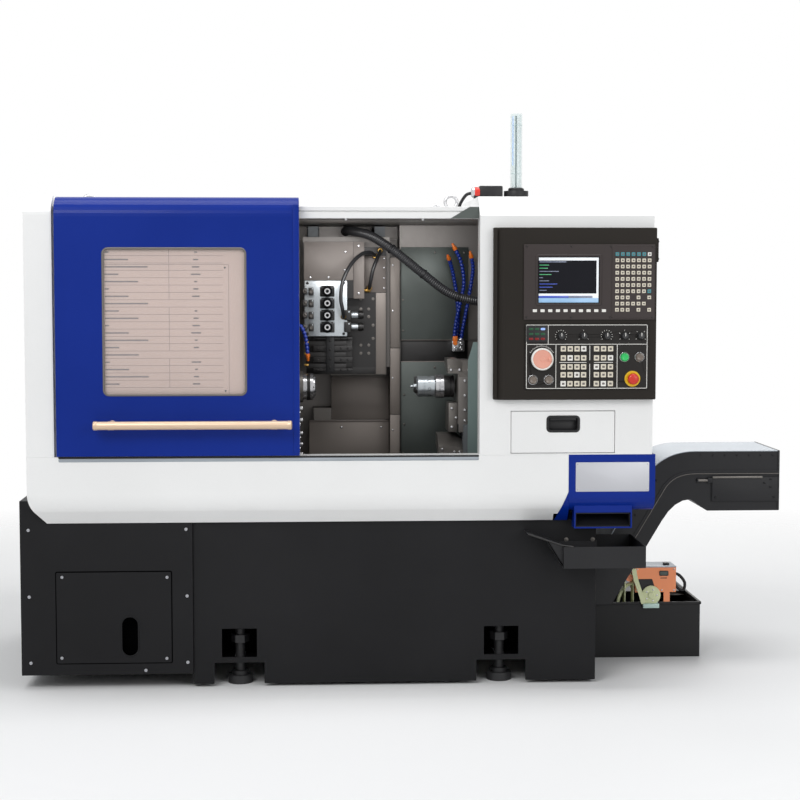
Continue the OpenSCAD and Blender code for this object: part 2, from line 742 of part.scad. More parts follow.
// Sub-spindle and its slide on the right pedestal
sub_x_offsets = [-50, 230];
sub_x = places(open_x1, sub_x_offsets);
sub_rise = 102;
sub_top_z = axis_z + sub_rise;
sub_bevel = 40;
collar_d = 84;
collar_l = 38;
ring_d = 90;
ring_l = 35;
chuck_gap_d = 50;
chuck_gap_l = 3;
chuck_l = 68;
pilot_d = 22;
pilot_l = 23;
sub_gap = 7;
sub_axis_x0 = sub_x[0] - sub_gap;
ring_x = sub_axis_x0 - collar_l - ring_l;
chuck_x0 = ring_x - chuck_gap_l - chuck_l;

module sub_slide() color("#86878a") difference() {
  along_x(sub_x) polygon([
    [head_body_y[0], head_body_z[0]], [head_body_y[1], head_body_z[0]],
    [head_body_y[1], sub_top_z - sub_bevel], [head_body_y[1] - sub_bevel, sub_top_z],
    [head_body_y[0] + sub_bevel, sub_top_z], [head_body_y[0], sub_top_z - sub_bevel]
  ]);
  rod_x([sub_x[0] - over, sub_x[1] + over], axis_y, axis_z, sub_shaft_d + 2 * run_gap);
}

module sub_spindle() color("#c4c7ca") {
  rod_x([sub_axis_x0 - over, sub_x[1]], axis_y, axis_z, sub_shaft_d);
  rod_x([sub_axis_x0 - collar_l - over, sub_axis_x0], axis_y, axis_z, collar_d);
  rod_x([ring_x, ring_x + ring_l], axis_y, axis_z, ring_d);
  rod_x([ring_x - chuck_gap_l - over, ring_x + over], axis_y, axis_z, chuck_gap_d);
  rod_x([chuck_x0, chuck_x0 + chuck_l], axis_y, axis_z, chuck_d);
  rod_x([chuck_x0 - pilot_l, chuck_x0 + over], axis_y, axis_z, pilot_d);
}

// Tool slide: a carriage under the rails, a plate that slides up and down on it, and the tools
carriage_rise = 62;
carriage_z = [axis_z + carriage_rise, column_top - slide_gap];
plate_insets = [10, 15];
plate_x = [tool_x[0] + plate_insets[0], tool_x[1] - plate_insets[1]];
plate_t = 40;
plate_y = [carriage_y[0] - slide_gap - plate_t, carriage_y[0] - slide_gap];
plate_drop = 40;
plate_z = [carriage_z[0], carriage_z[1] - plate_drop];
block_inset = 5;
block_l = 165;
block_x = [tool_x[0] + block_inset, tool_x[0] + block_inset + block_l];
block_d = 110;
block_y = [plate_y[0] - block_d, plate_y[0]];
block_rises = [187, 402];
block_z = places(axis_z, block_rises);
cover_over = 65;
cover_x = [block_x[0], block_x[1] + cover_over];
cover_d = 60;
cover_y = [plate_y[0] - cover_d, plate_y[0]];
cover_leg = 68;
cover_leg_z = block_z[1] - cover_leg;
cover_drop = 20;
cover_top_z = column_top - cover_drop;
tool_axis_inset = 88;
tool_axis_x = block_x[0] + tool_axis_inset;
tool_rise = 361;
tool_top_z = axis_z + tool_rise;
nut_l = 36;
small_nut_d = 30;
small_nut_l = 22;
small_nut_inset = 28;
small_nut_x = block_x[0] + small_nut_inset;
side_holder_d = 36;
side_holder_l = 62;
side_holder_y = block_y[0] + side_holder_d;
side_holder_x = block_x[1] + side_holder_l;
side_nut_l = 18;
turn_x_offsets = [35, 185];
turn_x = places(block_x[0], turn_x_offsets);
turn_d = 90;
turn_y = [plate_y[0] - turn_d, plate_y[0]];
turn_drop = 10;
turn_gap = 4;
turn_z = [carriage_z[0] - turn_drop, block_z[0] - turn_gap];
turn_slot = 24;
turn_count = 3;
turn_pitch = (turn_z[1] - turn_z[0]) / turn_count;
bit_h = turn_slot * 3 / 4;
bit_out = 36;
tool_spots = [0, 1, 2, 3];
side_tool_spots = [2, 3];
function tool_z(i) = tool_top_z - i * tool_pitch;
function turn_slot_z(i) = places(turn_z[0] + turn_pitch * (i + 1 / 4), [0, turn_slot]);

module tool_carriage() color("#8f8a84") block([tool_x[0], tool_x[1]], carriage_y, carriage_z);

module tool_plate() color("#3e3d3c") {
  block(plate_x, plate_y, plate_z);
  block(cover_x, cover_y, [block_z[1], cover_top_z]);
  block([block_x[1], cover_x[1]], cover_y, [cover_leg_z, block_z[1]]);
}

module tool_holders() color("#b5b7b8") {
  difference() {
    block(block_x, block_y, block_z);
    for (i = tool_spots)
      rod_y(tool_axis_x, [block_y[0] - over, block_y[1] - shank_d / 2], tool_z(i), shank_d + 2 * run_gap);
  }
  for (i = tool_spots) rod_y(small_nut_x, [block_y[0] - small_nut_l, block_y[0]], tool_z(i), small_nut_d);
  for (i = side_tool_spots) {
    rod_x([block_x[1], side_holder_x], side_holder_y, tool_z(i), side_holder_d);
    rod_x([side_holder_x, side_holder_x + side_nut_l], side_holder_y, tool_z(i), side_holder_d * 3 / 4);
  }
  difference() {
    block(turn_x, turn_y, turn_z);
    for (i = [0 : turn_count - 1])
      block([turn_x[0] - over, turn_x[1] + over], [turn_y[0] - over, turn_y[0] + turn_slot], turn_slot_z(i));
  }
  for (i = [0 : turn_count - 1])
    block([turn_x[0] - bit_out, turn_x[1] - turn_slot], [turn_y[0] + turn_slot / 4, turn_y[0] + turn_slot],
      places(turn_slot_z(i)[0], [0, bit_h]));
}

module live_tool(i) color("#2a2a2c") {
  rod_y(tool_axis_x, [block_y[0] - slide_gap - over, block_y[1] - shank_d], tool_z(i), shank_d);
  difference() {
    rod_y(tool_axis_x, [block_y[0] - nut_l, block_y[0] - slide_gap], tool_z(i), nut_d);
    rod_y(tool_axis_x, [block_y[0] - nut_l - over, block_y[0] - nut_l * 2 / 3], tool_z(i), nut_d / 2);
  }
}
module live_tool_1() live_tool(0);
module live_tool_2() live_tool(1);
module live_tool_3() live_tool(2);
module live_tool_4() live_tool(3);

// Blue corner panel with the parts outlet under it
corner_rise = 37;
corner_z0 = enclosure_z + corner_rise;
corner_r = 60;
outlet_x_offsets = [23, 233];
outlet_x = places(corner_x0, outlet_x_offsets);
outlet_setback = 15;
outlet_base_gap = 2;
outlet_y = [shell_y + outlet_setback, base_y - outlet_base_gap];
outlet_drop = 62;
outlet_z0 = corner_z0 - outlet_drop;
outlet_t = 5;
filler_gap = 0.5;

function corner_profile(t, back) = concat(
  [[back, sill_z + t], [shell_y + t, sill_z + t]],
  arc(shell_y + corner_r, corner_z0 + corner_r, corner_r - t, 180, 270),
  [[back, corner_z0 + t]]
);

// Curved filler between the cut end of the lower front cover and the corner panel
module corner_filler() intersection() {
  difference() {
    along_x([lower_x1 - lower_end_cut, corner_x0 + sheet_t])
      polygon(lower_profile(0, base_y - outlet_base_gap));
    along_x([lower_x1 - lower_end_cut - over, corner_x0 + sheet_t + over])
      polygon(lower_profile(sheet_t, base_y));
  }
  along_y([shell_y, base_y]) polygon([
    [lower_x1 + filler_gap, lower_roll_z], [lower_x1 - lower_end_cut + filler_gap, enclosure_z],
    [corner_x0 + sheet_t, enclosure_z], [corner_x0 + sheet_t, lower_roll_z]
  ]);
}

module corner_panel() color("#2b3f98") {
  corner_filler();
  difference() {
    union() {
      difference() {
        along_x([corner_x0, corner_x1]) polygon(corner_profile(0, corner_y1));
        along_x([corner_x0 + sheet_t, corner_x1 - sheet_t])
          polygon(corner_profile(sheet_t, corner_y1 + over));
      }
      block(outlet_x, outlet_y, [outlet_z0, corner_z0 + corner_r / 2]);
    }
    block([outlet_x[0] + outlet_t, outlet_x[1] - outlet_t], [outlet_y[0] - over, outlet_y[1] + over],
      [outlet_z0 + outlet_t, corner_z0 - outlet_t]);
  }
}

// Drip tray on the front corner of the base, with a sloping guide wing
tray_x_offsets = [-25, 271];
tray_x = places(corner_x0, tray_x_offsets);
tray_inset = 15;
tray_y0 = front_y + tray_inset;
tray_d = 305;
tray_y1 = tray_y0 + tray_d;
tray_z = [444, 522];
tray_t = 3;
wing_l = 127;
wing_rise = 43;
wing_y0 = tray_y0 + tray_inset;

module drip_tray() color("#303032") {
  difference() {
    union() {
      block(tray_x, [tray_y0, base_y], tray_z);
      block([skirt_x1, tray_x[1]], [base_y - over, tray_y1], tray_z);
    }
    block([tray_x[0] + tray_t, tray_x[1] - tray_t], [tray_y0 + tray_t, base_y - tray_t],
      [tray_z[0] + tray_t, tray_z[1] + over]);
    block([skirt_x1 + tray_t, tray_x[1] - tray_t], [base_y - 2 * tray_t, tray_y1 - tray_t],
      [tray_z[0] + tray_t, tray_z[1] + over]);
  }
  along_y([wing_y0, base_y]) polygon([
    [tray_x[0] - wing_l, tray_z[1] + wing_rise], [tray_x[0] + tray_t, tray_z[1] - tray_t],
    [tray_x[0] + tray_t, tray_z[1]], [tray_x[0] - wing_l, tray_z[1] + wing_rise + tray_t]
  ]);
}

// Console

// Places on the console, as shares of its width and height
panel_x_shares = [0.182, 0.985];
display_z_shares = [0.467, 0.903];
screen_shares = [0.265, 0.558];
soft_key_shares = [0.250, 0.519];
soft_key_step_share = 0.047;
soft_key_count = 10;
keypad_shares = [0.753, 0.524];
keypad_step_shares = [0.033, 0.0358];
keypad_counts = [7, 10];
operator_x_shares = [0.191, 0.950];
operator_z_shares = [0.062, 0.442];
knob_x_shares = [0.411, 0.550, 0.692, 0.802, 0.901];
knob_z_share = 0.373;
handwheel_shares = [0.294, 0.239];
power_x_shares = [0.2405, 0.337];
power_z_share = 0.118;
mode_key_x_shares = [0.426, 0.468, 0.510, 0.551, 0.630, 0.673, 0.716];
mode_key_z_shares = [0.095, 0.147, 0.193, 0.245, 0.298];
cycle_x_shares = [0.802, 0.895];
cycle_z_share = 0.249;
estop_shares = [0.852, 0.123];
led_x_shares = [0.195, 0.330];
led_z_shares = [0.330, 0.438];

console_y = shell_y - console_proud;
console_body_d = 115;
console_chamfer = 34;
panel_t = 6;
panel_front_y = console_y - panel_t;
key_rise = 3;
soft_key_l = 15;
keypad_key_l = 13;
mode_key_l = 19;
screen_recess = 2;
stem_d = 8;
knob_l = 22;
button_l = 8;
button_stroke_gap = 3.5;
button_stem_d = 12;
button_stem_end = 3.4;
estop_head_l = 18;
estop_gap = 11;
estop_stem_d = 22;
estop_stem_end = 5.5;
wheel_l = 17;
wheel_gap = 7;
wheel_stem_d = 16;
crank_d = 14;
crank_l = 12;
crank_share = 0.33;

function on_console_x(share) = console_x0 + share * console_l;
function on_console_z(share) = console_z0 + share * console_h;
screen_x = places(on_console_x(screen_shares[0]), [0, screen_l]);
screen_z = places(on_console_z(screen_shares[1]), [0, screen_h]);

module console_housing() color("#2e2925") {
  translate([0, 0, console_z0]) linear_extrude(console_h) polygon([
    [console_x0, shell_y], [console_x0, shell_y - console_proud / 3],
    [console_x0 + console_chamfer, console_y], [console_x1, console_y], [console_x1, shell_y]
  ]);
  block([console_x0 + console_lip + slide_gap, console_x1 - console_lip - slide_gap],
    [shell_y - over, shell_y + console_body_d],
    [console_z0 + console_lip + slide_gap, console_z1 - console_lip - slide_gap]);
}

module display_panel() color("#3e3636") difference() {
  block([for (share = panel_x_shares) on_console_x(share)], [panel_front_y, console_y],
    [for (share = display_z_shares) on_console_z(share)]);
  block(screen_x, [panel_front_y - over, console_y + over], screen_z);
}

module display_screen() color("#16182a")
  block(screen_x, [panel_front_y + screen_recess, console_y], screen_z);

module operator_panel() color("#35302c") difference() {
  block([for (share = operator_x_shares) on_console_x(share)], [panel_front_y, console_y],
    [for (share = operator_z_shares) on_console_z(share)]);
  for (share = knob_x_shares) stem_hole(share, knob_z_share, stem_d);
  for (share = power_x_shares) stem_hole(share, power_z_share, button_stem_d);
  for (share = cycle_x_shares) stem_hole(share, cycle_z_share, button_stem_d);
  stem_hole(handwheel_shares[0], handwheel_shares[1], wheel_stem_d);
  stem_hole(estop_shares[0], estop_shares[1], estop_stem_d);
}

module stem_hole(x_share, z_share, d) rod_y(
  on_console_x(x_share), [panel_front_y - over, console_y + over], on_console_z(z_share), d + 2 * slide_gap
);

module key(x_share, z_share, l, h) block(
  [on_console_x(x_share) - l / 2, on_console_x(x_share) + l / 2], [panel_front_y - key_rise, panel_front_y],
  [on_console_z(z_share) - h / 2, on_console_z(z_share) + h / 2]
);

module control_keys() color("#d9d2c0") {
  for (i = [0 : soft_key_count - 1])
    key(soft_key_shares[0] + i * soft_key_step_share, soft_key_shares[1], soft_key_l, soft_key_l * 2 / 3);
  for (i = [0 : keypad_counts[0] - 1], j = [0 : keypad_counts[1] - 1])
    key(keypad_shares[0] + i * keypad_step_shares[0], keypad_shares[1] + j * keypad_step_shares[1],
      keypad_key_l, keypad_key_l);
  for (x = mode_key_x_shares, z = mode_key_z_shares) key(x, z, mode_key_l, mode_key_l);
  block([for (share = led_x_shares) on_console_x(share)], [panel_front_y - key_rise, panel_front_y],
    [for (share = led_z_shares) on_console_z(share)]);
}

// A rotary switch on its stem, with a grip bar across it
module knob(i) color("#1a1a1c") {
  x = on_console_x(knob_x_shares[i]);
  z = on_console_z(knob_z_share);
  rod_y(x, [panel_front_y - knob_l / 2, panel_front_y - slide_gap], z, knob_d);
  block([x - stem_d / 2, x + stem_d / 2], [panel_front_y - knob_l, panel_front_y - knob_l / 2 + over],
    [z - knob_d / 2, z + knob_d / 2]);
  rod_y(x, [panel_front_y - slide_gap - over, console_y - slide_gap], z, stem_d);
}
module knob_1() knob(0);
module knob_2() knob(1);
module knob_3() knob(2);
module knob_4() knob(3);
module knob_5() knob(4);

module handwheel() color("#e8dcd8") {
  x = on_console_x(handwheel_shares[0]);
  z = on_console_z(handwheel_shares[1]);
  wheel_y = panel_front_y - wheel_gap - wheel_l;
  rod_y(x, [wheel_y, panel_front_y - wheel_gap], z, handwheel_d);
  rod_y(x, [panel_front_y - wheel_gap - over, console_y - slide_gap], z, wheel_stem_d);
  rod_y(x + crank_share * handwheel_d, [wheel_y - crank_l, wheel_y + over], z, crank_d);
}

module push_button(x_share, z_share) {
  x = on_console_x(x_share);
  z = on_console_z(z_share);
  rod_y(x, [panel_front_y - button_stroke_gap - button_l, panel_front_y - button_stroke_gap], z, button_d);
  rod_y(x, [panel_front_y - button_stroke_gap - over, console_y - button_stem_end], z, button_stem_d);
}
module start_button() color("#1fb45a") push_button(cycle_x_shares[0], cycle_z_share);
module hold_button() color("#c8cacc") push_button(cycle_x_shares[1], cycle_z_share);
module power_on_button() color("#c8cacc") push_button(power_x_shares[0], power_z_share);
module power_off_button() color("#c8cacc") push_button(power_x_shares[1], power_z_share);

module emergency_stop() color("#c8202a") {
  x = on_console_x(estop_shares[0]);
  z = on_console_z(estop_shares[1]);
  rod_y(x, [panel_front_y - estop_gap - estop_head_l, panel_front_y - estop_gap], z, estop_d);
  rod_y(x, [panel_front_y - estop_gap - over, console_y - estop_stem_end], z, estop_stem_d);
}

// Signal lamp and the hose coupling beside it on the right cover
lamp_inset = 172;
lamp_x = open_x1 + lamp_inset;
lamp_setback = 375;
lamp_y = shell_y + lamp_setback;
lamp_base_d = 92;
lamp_base_h = 35;
lamp_d = 45;
lamp_h = 288;
lamp_wall = 4;
coupling_d = 34;
coupling_offsets = [-159, -52];
coupling_x = places(lamp_x, coupling_offsets);
lamp_z = enclosure_h + lamp_base_h;

module lamp_base() color("#17171a") {
  rod_z(lamp_x, lamp_y, [enclosure_h, lamp_z], lamp_base_d);
  difference() {
    rod_x(coupling_x, lamp_y, enclosure_h + coupling_d / 2 - over, coupling_d);
    block([coupling_x[0] - over, coupling_x[1] + over], [lamp_y - coupling_d, lamp_y + coupling_d],
      [enclosure_h - coupling_d, enclosure_h]);
  }
}

module lamp_lens() color("#cfe3e0", 0.5) difference() {
  rod_z(lamp_x, lamp_y, [lamp_z, lamp_z + lamp_h], lamp_d);
  rod_z(lamp_x, lamp_y, [lamp_z - over, lamp_z + lamp_h - lamp_wall], lamp_d - 2 * lamp_wall);
}

// Chip conveyor: trough under the bed, rising neck and discharge head
head_x0 = right_x - head_l;
head_z1 = head_z + head_h;
trough_z0 = 236;
trough_z1 = 430;
neck_gap = 107;
conveyor_inset = 98;
conveyor_tail_x = skirt_x0 + conveyor_inset;
neck_foot_x = skirt_x1 + neck_gap;
neck_run = head_x0 - neck_foot_x;
neck_top_over = 47;
neck_top_x = neck_foot_x - neck_top_over;
incline_over = 60;
incline_x = neck_top_x - incline_over;
neck_hole_z = [trough_z0 - conveyor_gap + over, trough_z1 + conveyor_gap];
neck_knee_shares = [0.358, 0.612];
neck_bend_shares = [0.52, 0.89];
neck_arch_shares = [0.655, 1.125];
neck_lip_shares = [0.824, 1.123];
neck_top_shares = [0.874, 0.538, 0.365];
neck_round_drop = 89;
neck_rise = head_z - trough_z0;

// A bend from one point to another, drawn towards a corner between them
function bend(from, corner, to, n = 4) =
  [for (i = [0:n]) pow(1 - i / n, 2) * from + 2 * i / n * (1 - i / n) * corner + pow(i / n, 2) * to];

// Outline of the casing in X and Z, each point drawn in by t along its own direction
function on_neck(shares, in_x, in_z) =
  [neck_foot_x + neck_run * shares[0] + in_x, trough_z0 + neck_rise * shares[1] + in_z];
function on_neck_x(i) = neck_foot_x + neck_run * neck_top_shares[i];
function conveyor_low(t) = concat(
  [[conveyor_tail_x + t, trough_z0 + t], [neck_foot_x - t / 2, trough_z0 + t],
   on_neck(neck_knee_shares, -t, t / 2)],
  bend(on_neck(neck_bend_shares, -t * 3 / 4, t * 3 / 4), on_neck(neck_arch_shares, -t / 2, t),
    on_neck(neck_lip_shares, -t / 4, t)),
  [[head_x0 + t / 2, head_z + t]]
);
function conveyor_high(t) = concat(
  bend([on_neck_x(0) + t / 8, head_z1 - t], [on_neck_x(1) + t / 2, head_z1 - t],
    [on_neck_x(2) + t * 3 / 4, head_z1 - neck_round_drop - t * 3 / 4]),
  [[neck_top_x + t / 2, trough_z1 - t], [conveyor_tail_x + t, trough_z1 - t]]
);
function conveyor_outline(t) = concat(
  conveyor_low(t), [[right_x - t, head_z + t], [right_x - t, head_z1 - t]], conveyor_high(t)
);

// The belt runs round the drum in the head
belt_t = 8;
belt_in = (head_h - drum_d) / 2 - belt_t - slide_gap;
drum_x = right_x - belt_in - belt_t - slide_gap - drum_d / 2;
drum_z = head_z + head_h / 2;
drum_end_gap = 20;
drum_shaft_d = 30;
module belt_outline(t) {
  polygon(concat(conveyor_low(t), [[drum_x, head_z + t], [drum_x, head_z1 - t]], conveyor_high(t)));
  translate([drum_x, drum_z]) circle(r = head_h / 2 - t);
}

side_cover_insets = [15, 1];
side_cover_x = [head_x0 + side_cover_insets[0], right_x - side_cover_insets[1]];
side_cover_rises = [35, 130];
side_cover_z = places(head_z, side_cover_rises);
side_cover_t = 5;
motor_w = 120;
motor_x = [drum_x - motor_w / 2, drum_x + motor_w / 2];
motor_h = 110;
motor_z = [drum_z - motor_h / 2, drum_z + motor_h / 2];
motor_l = 110;
discharge_inset = 20;
discharge_x = [drum_x - drum_d / 2, right_x - discharge_inset];

module conveyor_casing() color("#323234") {
  inner_y = [conveyor_y0 + casing_t, conveyor_y1 - casing_t];
  difference() {
    union() {
      along_y([conveyor_y0, conveyor_y1]) polygon(conveyor_outline(0));
      block(side_cover_x, [conveyor_y0 - side_cover_t, conveyor_y0 + over], side_cover_z);
      block(motor_x, [conveyor_y1 - over, conveyor_y1 + motor_l], motor_z);
    }
    along_y(inner_y) polygon(conveyor_outline(casing_t));
    block(chute_x, inner_y, [trough_z1 - casing_t - over, trough_z1 + over]);
    block(discharge_x, inner_y, [head_z - over, head_z + casing_t + over]);
    rod_y(drum_x, [conveyor_y0 + casing_t / 2, conveyor_y1 + motor_l / 2],
      drum_z, drum_shaft_d + 2 * run_gap);
  }
}

belt_y = [conveyor_y0 + drum_end_gap, conveyor_y1 - drum_end_gap];

module conveyor_belt() color("#6b6d70") along_y(belt_y) difference() {
  belt_outline(belt_in);
  belt_outline(belt_in + belt_t);
}

module conveyor_drum() color("#9a9da0") {
  rod_y(drum_x, belt_y, drum_z, drum_d);
  rod_y(drum_x, [conveyor_y0 + casing_t / 2 + slide_gap, conveyor_y1 + motor_l / 2 - slide_gap],
    drum_z, drum_shaft_d);
}

// Coolant tank with its pump and oil skimmer
tank_x0 = skirt_x1;
tank_x1 = tank_x0 + tank_l;
tank_setback = 485;
tank_y0 = shell_y + tank_setback;
tank_y1 = tank_y0 + tank_d;
tank_t = 4;
// Bar across the open end of the tank on which the conveyor rests
rest_l = 40;
lid_gap = 40;
lid_y0 = conveyor_y1 + lid_gap;
pump_inset = 110;
pump_x = tank_x0 + pump_inset;
pump_y = (lid_y0 + tank_y1) / 2;
pump_d = 120;
pump_h = 190;
pump_flange_d = 150;
pump_flange_h = 12;
pump_pipe_d = 60;
pump_pipe_l = 150;

module coolant_tank() color("#2f2f31") {
  inner_x = [tank_x0 + tank_t, tank_x1 - tank_t];
  difference() {
    block([tank_x0, tank_x1], [tank_y0, tank_y1], [0, tank_h]);
    block(inner_x, [tank_y0 + tank_t, tank_y1 - tank_t], [tank_t, tank_h - tank_t]);
    block(inner_x, [tank_y0 + tank_t, lid_y0], [tank_h - tank_t - over, tank_h + over]);
    rod_z(pump_x, pump_y, [tank_h - tank_t - over, tank_h + over], pump_pipe_d + 2 * slide_gap);
  }
  block([tank_x0, tank_x0 + rest_l], [tank_y0, lid_y0 + rest_l], [tank_h - over, trough_z0]);
}

module coolant_pump() color("#3a3c40") {
  rod_z(pump_x, pump_y, [tank_h, tank_h + pump_flange_h], pump_flange_d);
  rod_z(pump_x, pump_y, [tank_h, tank_h + pump_h], pump_d);
  rod_z(pump_x, pump_y, [tank_h - pump_pipe_l, tank_h + over], pump_pipe_d);
}

skimmer_neck_share = 0.324;
skimmer_x0 = neck_foot_x + neck_run * skimmer_neck_share;
skimmer_x1 = skimmer_x0 + skimmer_l;
skimmer_d = 110;
skimmer_y = [tank_y0, tank_y0 + skimmer_d];
skimmer_rises = [41, 140];
skimmer_z = places(tank_h, skimmer_rises);
skimmer_foot = 24;
skimmer_pulley_d = 30;
skimmer_belt_w = 44;
skimmer_belt_t = 3;
skimmer_belt_gap = 3;
skimmer_belt_x = skimmer_x0 - skimmer_belt_gap - skimmer_pulley_d / 2 - skimmer_belt_t;
skimmer_drop = 44;
skimmer_top_z = skimmer_z[1] - skimmer_drop;
skimmer_low_z = 60;
skimmer_belt_inset = 14;
skimmer_belt_y = [tank_y0 + skimmer_belt_inset, tank_y0 + skimmer_belt_inset + skimmer_belt_w];
skimmer_arm = 14;

module skimmer_housing() color("#e88a4c") {
  block([skimmer_x0, skimmer_x1], skimmer_y, skimmer_z);
  for (x = [skimmer_x0 + skimmer_foot, skimmer_x1 - 2 * skimmer_foot])
    block([x, x + skimmer_foot], [tank_y0, tank_y0 + tank_t], [tank_h, skimmer_z[0] + over]);
  rod_y(skimmer_belt_x, [skimmer_belt_y[0], skimmer_y[1]], skimmer_top_z, skimmer_pulley_d - 2 * slide_gap);
  block([skimmer_belt_x - skimmer_arm / 2, skimmer_x0 + over], [skimmer_y[1] - skimmer_arm, skimmer_y[1]],
    [skimmer_top_z - skimmer_arm / 2, skimmer_top_z + skimmer_arm / 2]);
}

module skimmer_loop(d) {
  for (z = [skimmer_low_z, skimmer_top_z]) translate([skimmer_belt_x, z]) circle(d = d);
  translate([skimmer_belt_x - d / 2, skimmer_low_z]) square([d, skimmer_top_z - skimmer_low_z]);
}

module skimmer_belt() color("#bcc896") along_y(skimmer_belt_y) difference() {
  skimmer_loop(skimmer_pulley_d + 2 * skimmer_belt_t);
  skimmer_loop(skimmer_pulley_d);
}

// Hoses

// A smooth curve through hand-chosen points, with a few rings between each pair
function curve_point(p, i, u) = let(
  a = p[max(i - 1, 0)], b = p[i], c = p[i + 1], d = p[min(i + 2, len(p) - 1)]
) 0.5 * (2 * b + (c - a) * u + (2 * a - 5 * b + 4 * c - d) * u * u + (3 * b - a - 3 * c + d) * u * u * u);
function curve(p, n) = concat(
  [for (i = [0 : len(p) - 2], k = [0 : n - 1]) curve_point(p, i, k / n)], [p[len(p) - 1]]
);
function unit(v) = v / norm(v);
function ring(c, t, d, n) = let(
  side = unit(cross(t, abs(t[2]) > 0.9 ? [0, 1, 0] : [0, 0, 1])), up = cross(side, t)
) [for (k = [0 : n - 1]) c + d / 2 * (cos(360 * k / n) * side + sin(360 * k / n) * up)];

// A round tube swept along a smooth curve
module tube(route, d, sides, steps) {
  c = curve(route, steps);
  last = len(c) - 1;
  points = [for (i = [0:last]) each ring(c[i], unit(c[min(i + 1, last)] - c[max(i - 1, 0)]), d, sides)];
  skin = [for (i = [0 : last - 1], k = [0 : sides - 1])
    [i * sides + k, i * sides + (k + 1) % sides, (i + 1) * sides + (k + 1) % sides, (i + 1) * sides + k]];
  ends = [[for (k = [sides - 1 : -1 : 0]) k], [for (k = [0 : sides - 1]) last * sides + k]];
  polyhedron(points, concat([ends[0]], skin, [ends[1]]));
}

// Cable conduit from the back wall to the right wall
conduit_d = 36;
conduit_sides = 12;
gland_d = 50;
conduit_route = [
  [-230, 190, 1666], [-230, 100, 1666], [-228, 10, 1666], [-205, -90, 1660], [-140, -170, 1640],
  [-50, -215, 1580], [50, -235, 1500], [150, -240, 1425], [240, -235, 1395], [330, -225, 1388],
  [420, -220, 1388], [497, -220, 1388]
];

module cable_conduit() color("#151517") tube(conduit_route, conduit_d, conduit_sides, 4);

// Hoses on the tool plate
hose_d = 14;
hose_sides = 10;
hose_routes = [
  [[-245, -151, 1330], [-245, -175, 1332], [-250, -206, 1362], [-256, -212, 1400], [-252, -208, 1450],
   [-235, -196, 1500], [-205, -170, 1545], [-172, -140, 1572], [-142, -112, 1578], [-122, -72, 1568],
   [-120, -41, 1565]],
  [[-142, -41, 1440], [-142, -75, 1442], [-138, -102, 1470], [-130, -108, 1510], [-115, -98, 1550],
   [-101, -70, 1582], [-100, -41, 1586]]
];

module tool_hoses() color("#141416") for (route = hose_routes) tube(route, hose_d, hose_sides, 3);

// Segmented coolant hoses: a cluster on a manifold at the right and one hose on the left wall
nozzle_d = 16;
nozzle_l = 366;
manifold_offsets = [-45, 5];
manifold_x = places(open_x1, manifold_offsets);
manifold_rises = [122, 167];
manifold_z = places(axis_z, manifold_rises);
manifold_d = 57;
manifold_y = [shallow_y - wall_t - manifold_d, shallow_y - wall_t];
left_nozzle_offset = 10;
left_nozzle_rise = 232;
left_nozzle = [lining_x[0] + wall_t + over, axis_y + left_nozzle_offset, axis_z + left_nozzle_rise];

// Feet of the hoses on the manifold as shares of its size, and their ways as shares of the longest hose
foot_shares = [[0.2, 0.35], [0.74, 0.35], [0.46, 0.7]];
way_shares = [
  [[0, 0, 0], [0.014, -0.041, 0.18], [0.055, -0.096, 0.4], [0.09, -0.15, 0.617], [0.055, -0.219, 0.836],
   [-0.027, -0.287, 1]],
  [[0, 0, 0], [0.027, -0.027, 0.18], [0.066, -0.068, 0.4], [0.098, -0.123, 0.617], [0.109, -0.205, 0.781],
   [0.077, -0.287, 0.918]],
  [[0, 0, 0], [0.011, -0.016, 0.235], [-0.005, -0.049, 0.454], [-0.044, -0.109, 0.672],
   [-0.087, -0.191, 0.822], [-0.117, -0.273, 0.891]]
];
left_way_shares = [[0, 0, 0], [0.046, 0, -0.005], [0.09, 0, -0.087], [0.112, 0, -0.205], [0.123, 0, -0.328]];
function nozzle_foot(i) = [
  manifold_x[0] + foot_shares[i][0] * (manifold_x[1] - manifold_x[0]),
  manifold_y[0] + foot_shares[i][1] * manifold_d,
  manifold_z[1] - over
];

module nozzle(foot, shares) tube([for (share = shares) foot + nozzle_l * share], nozzle_d, hose_sides, 3);

module coolant_nozzles() color("#14287a") {
  block(manifold_x, manifold_y, manifold_z);
  for (i = [0 : len(way_shares) - 1]) nozzle(nozzle_foot(i), way_shares[i]);
  nozzle(left_nozzle, left_way_shares);
}

base_skirt();
bed_casting();
levelling_feet();
left_base_cover();
access_panel();
lower_front_cover();
left_end_cover();
right_front_cover();
fixed_panel();
roof_cover();
rear_cabinet();
door_rail();
splash_wall();
corner_panel();
drip_tray();
console_housing();
display_panel();
display_screen();
operator_panel();
control_keys();
knob_1();
knob_2();
knob_3();
knob_4();
knob_5();
handwheel();
emergency_stop();
start_button();
hold_button();
power_on_button();
power_off_button();
lamp_base();
lamp_lens();
headstock();
spindle_bearings();
main_spindle();
sub_slide();
sub_spindle();
way_covers();
tool_carriage();
tool_plate();
tool_holders();
live_tool_1();
live_tool_2();
live_tool_3();
live_tool_4();
coolant_tank();
coolant_pump();
skimmer_housing();
skimmer_belt();
conveyor_casing();
conveyor_belt();
conveyor_drum();
cable_conduit();
coolant_nozzles();
tool_hoses();
drawer();
door_panel();
door_window();
door_handle();
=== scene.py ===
import json
import math

import bmesh
import bpy
from mathutils import Matrix, Vector


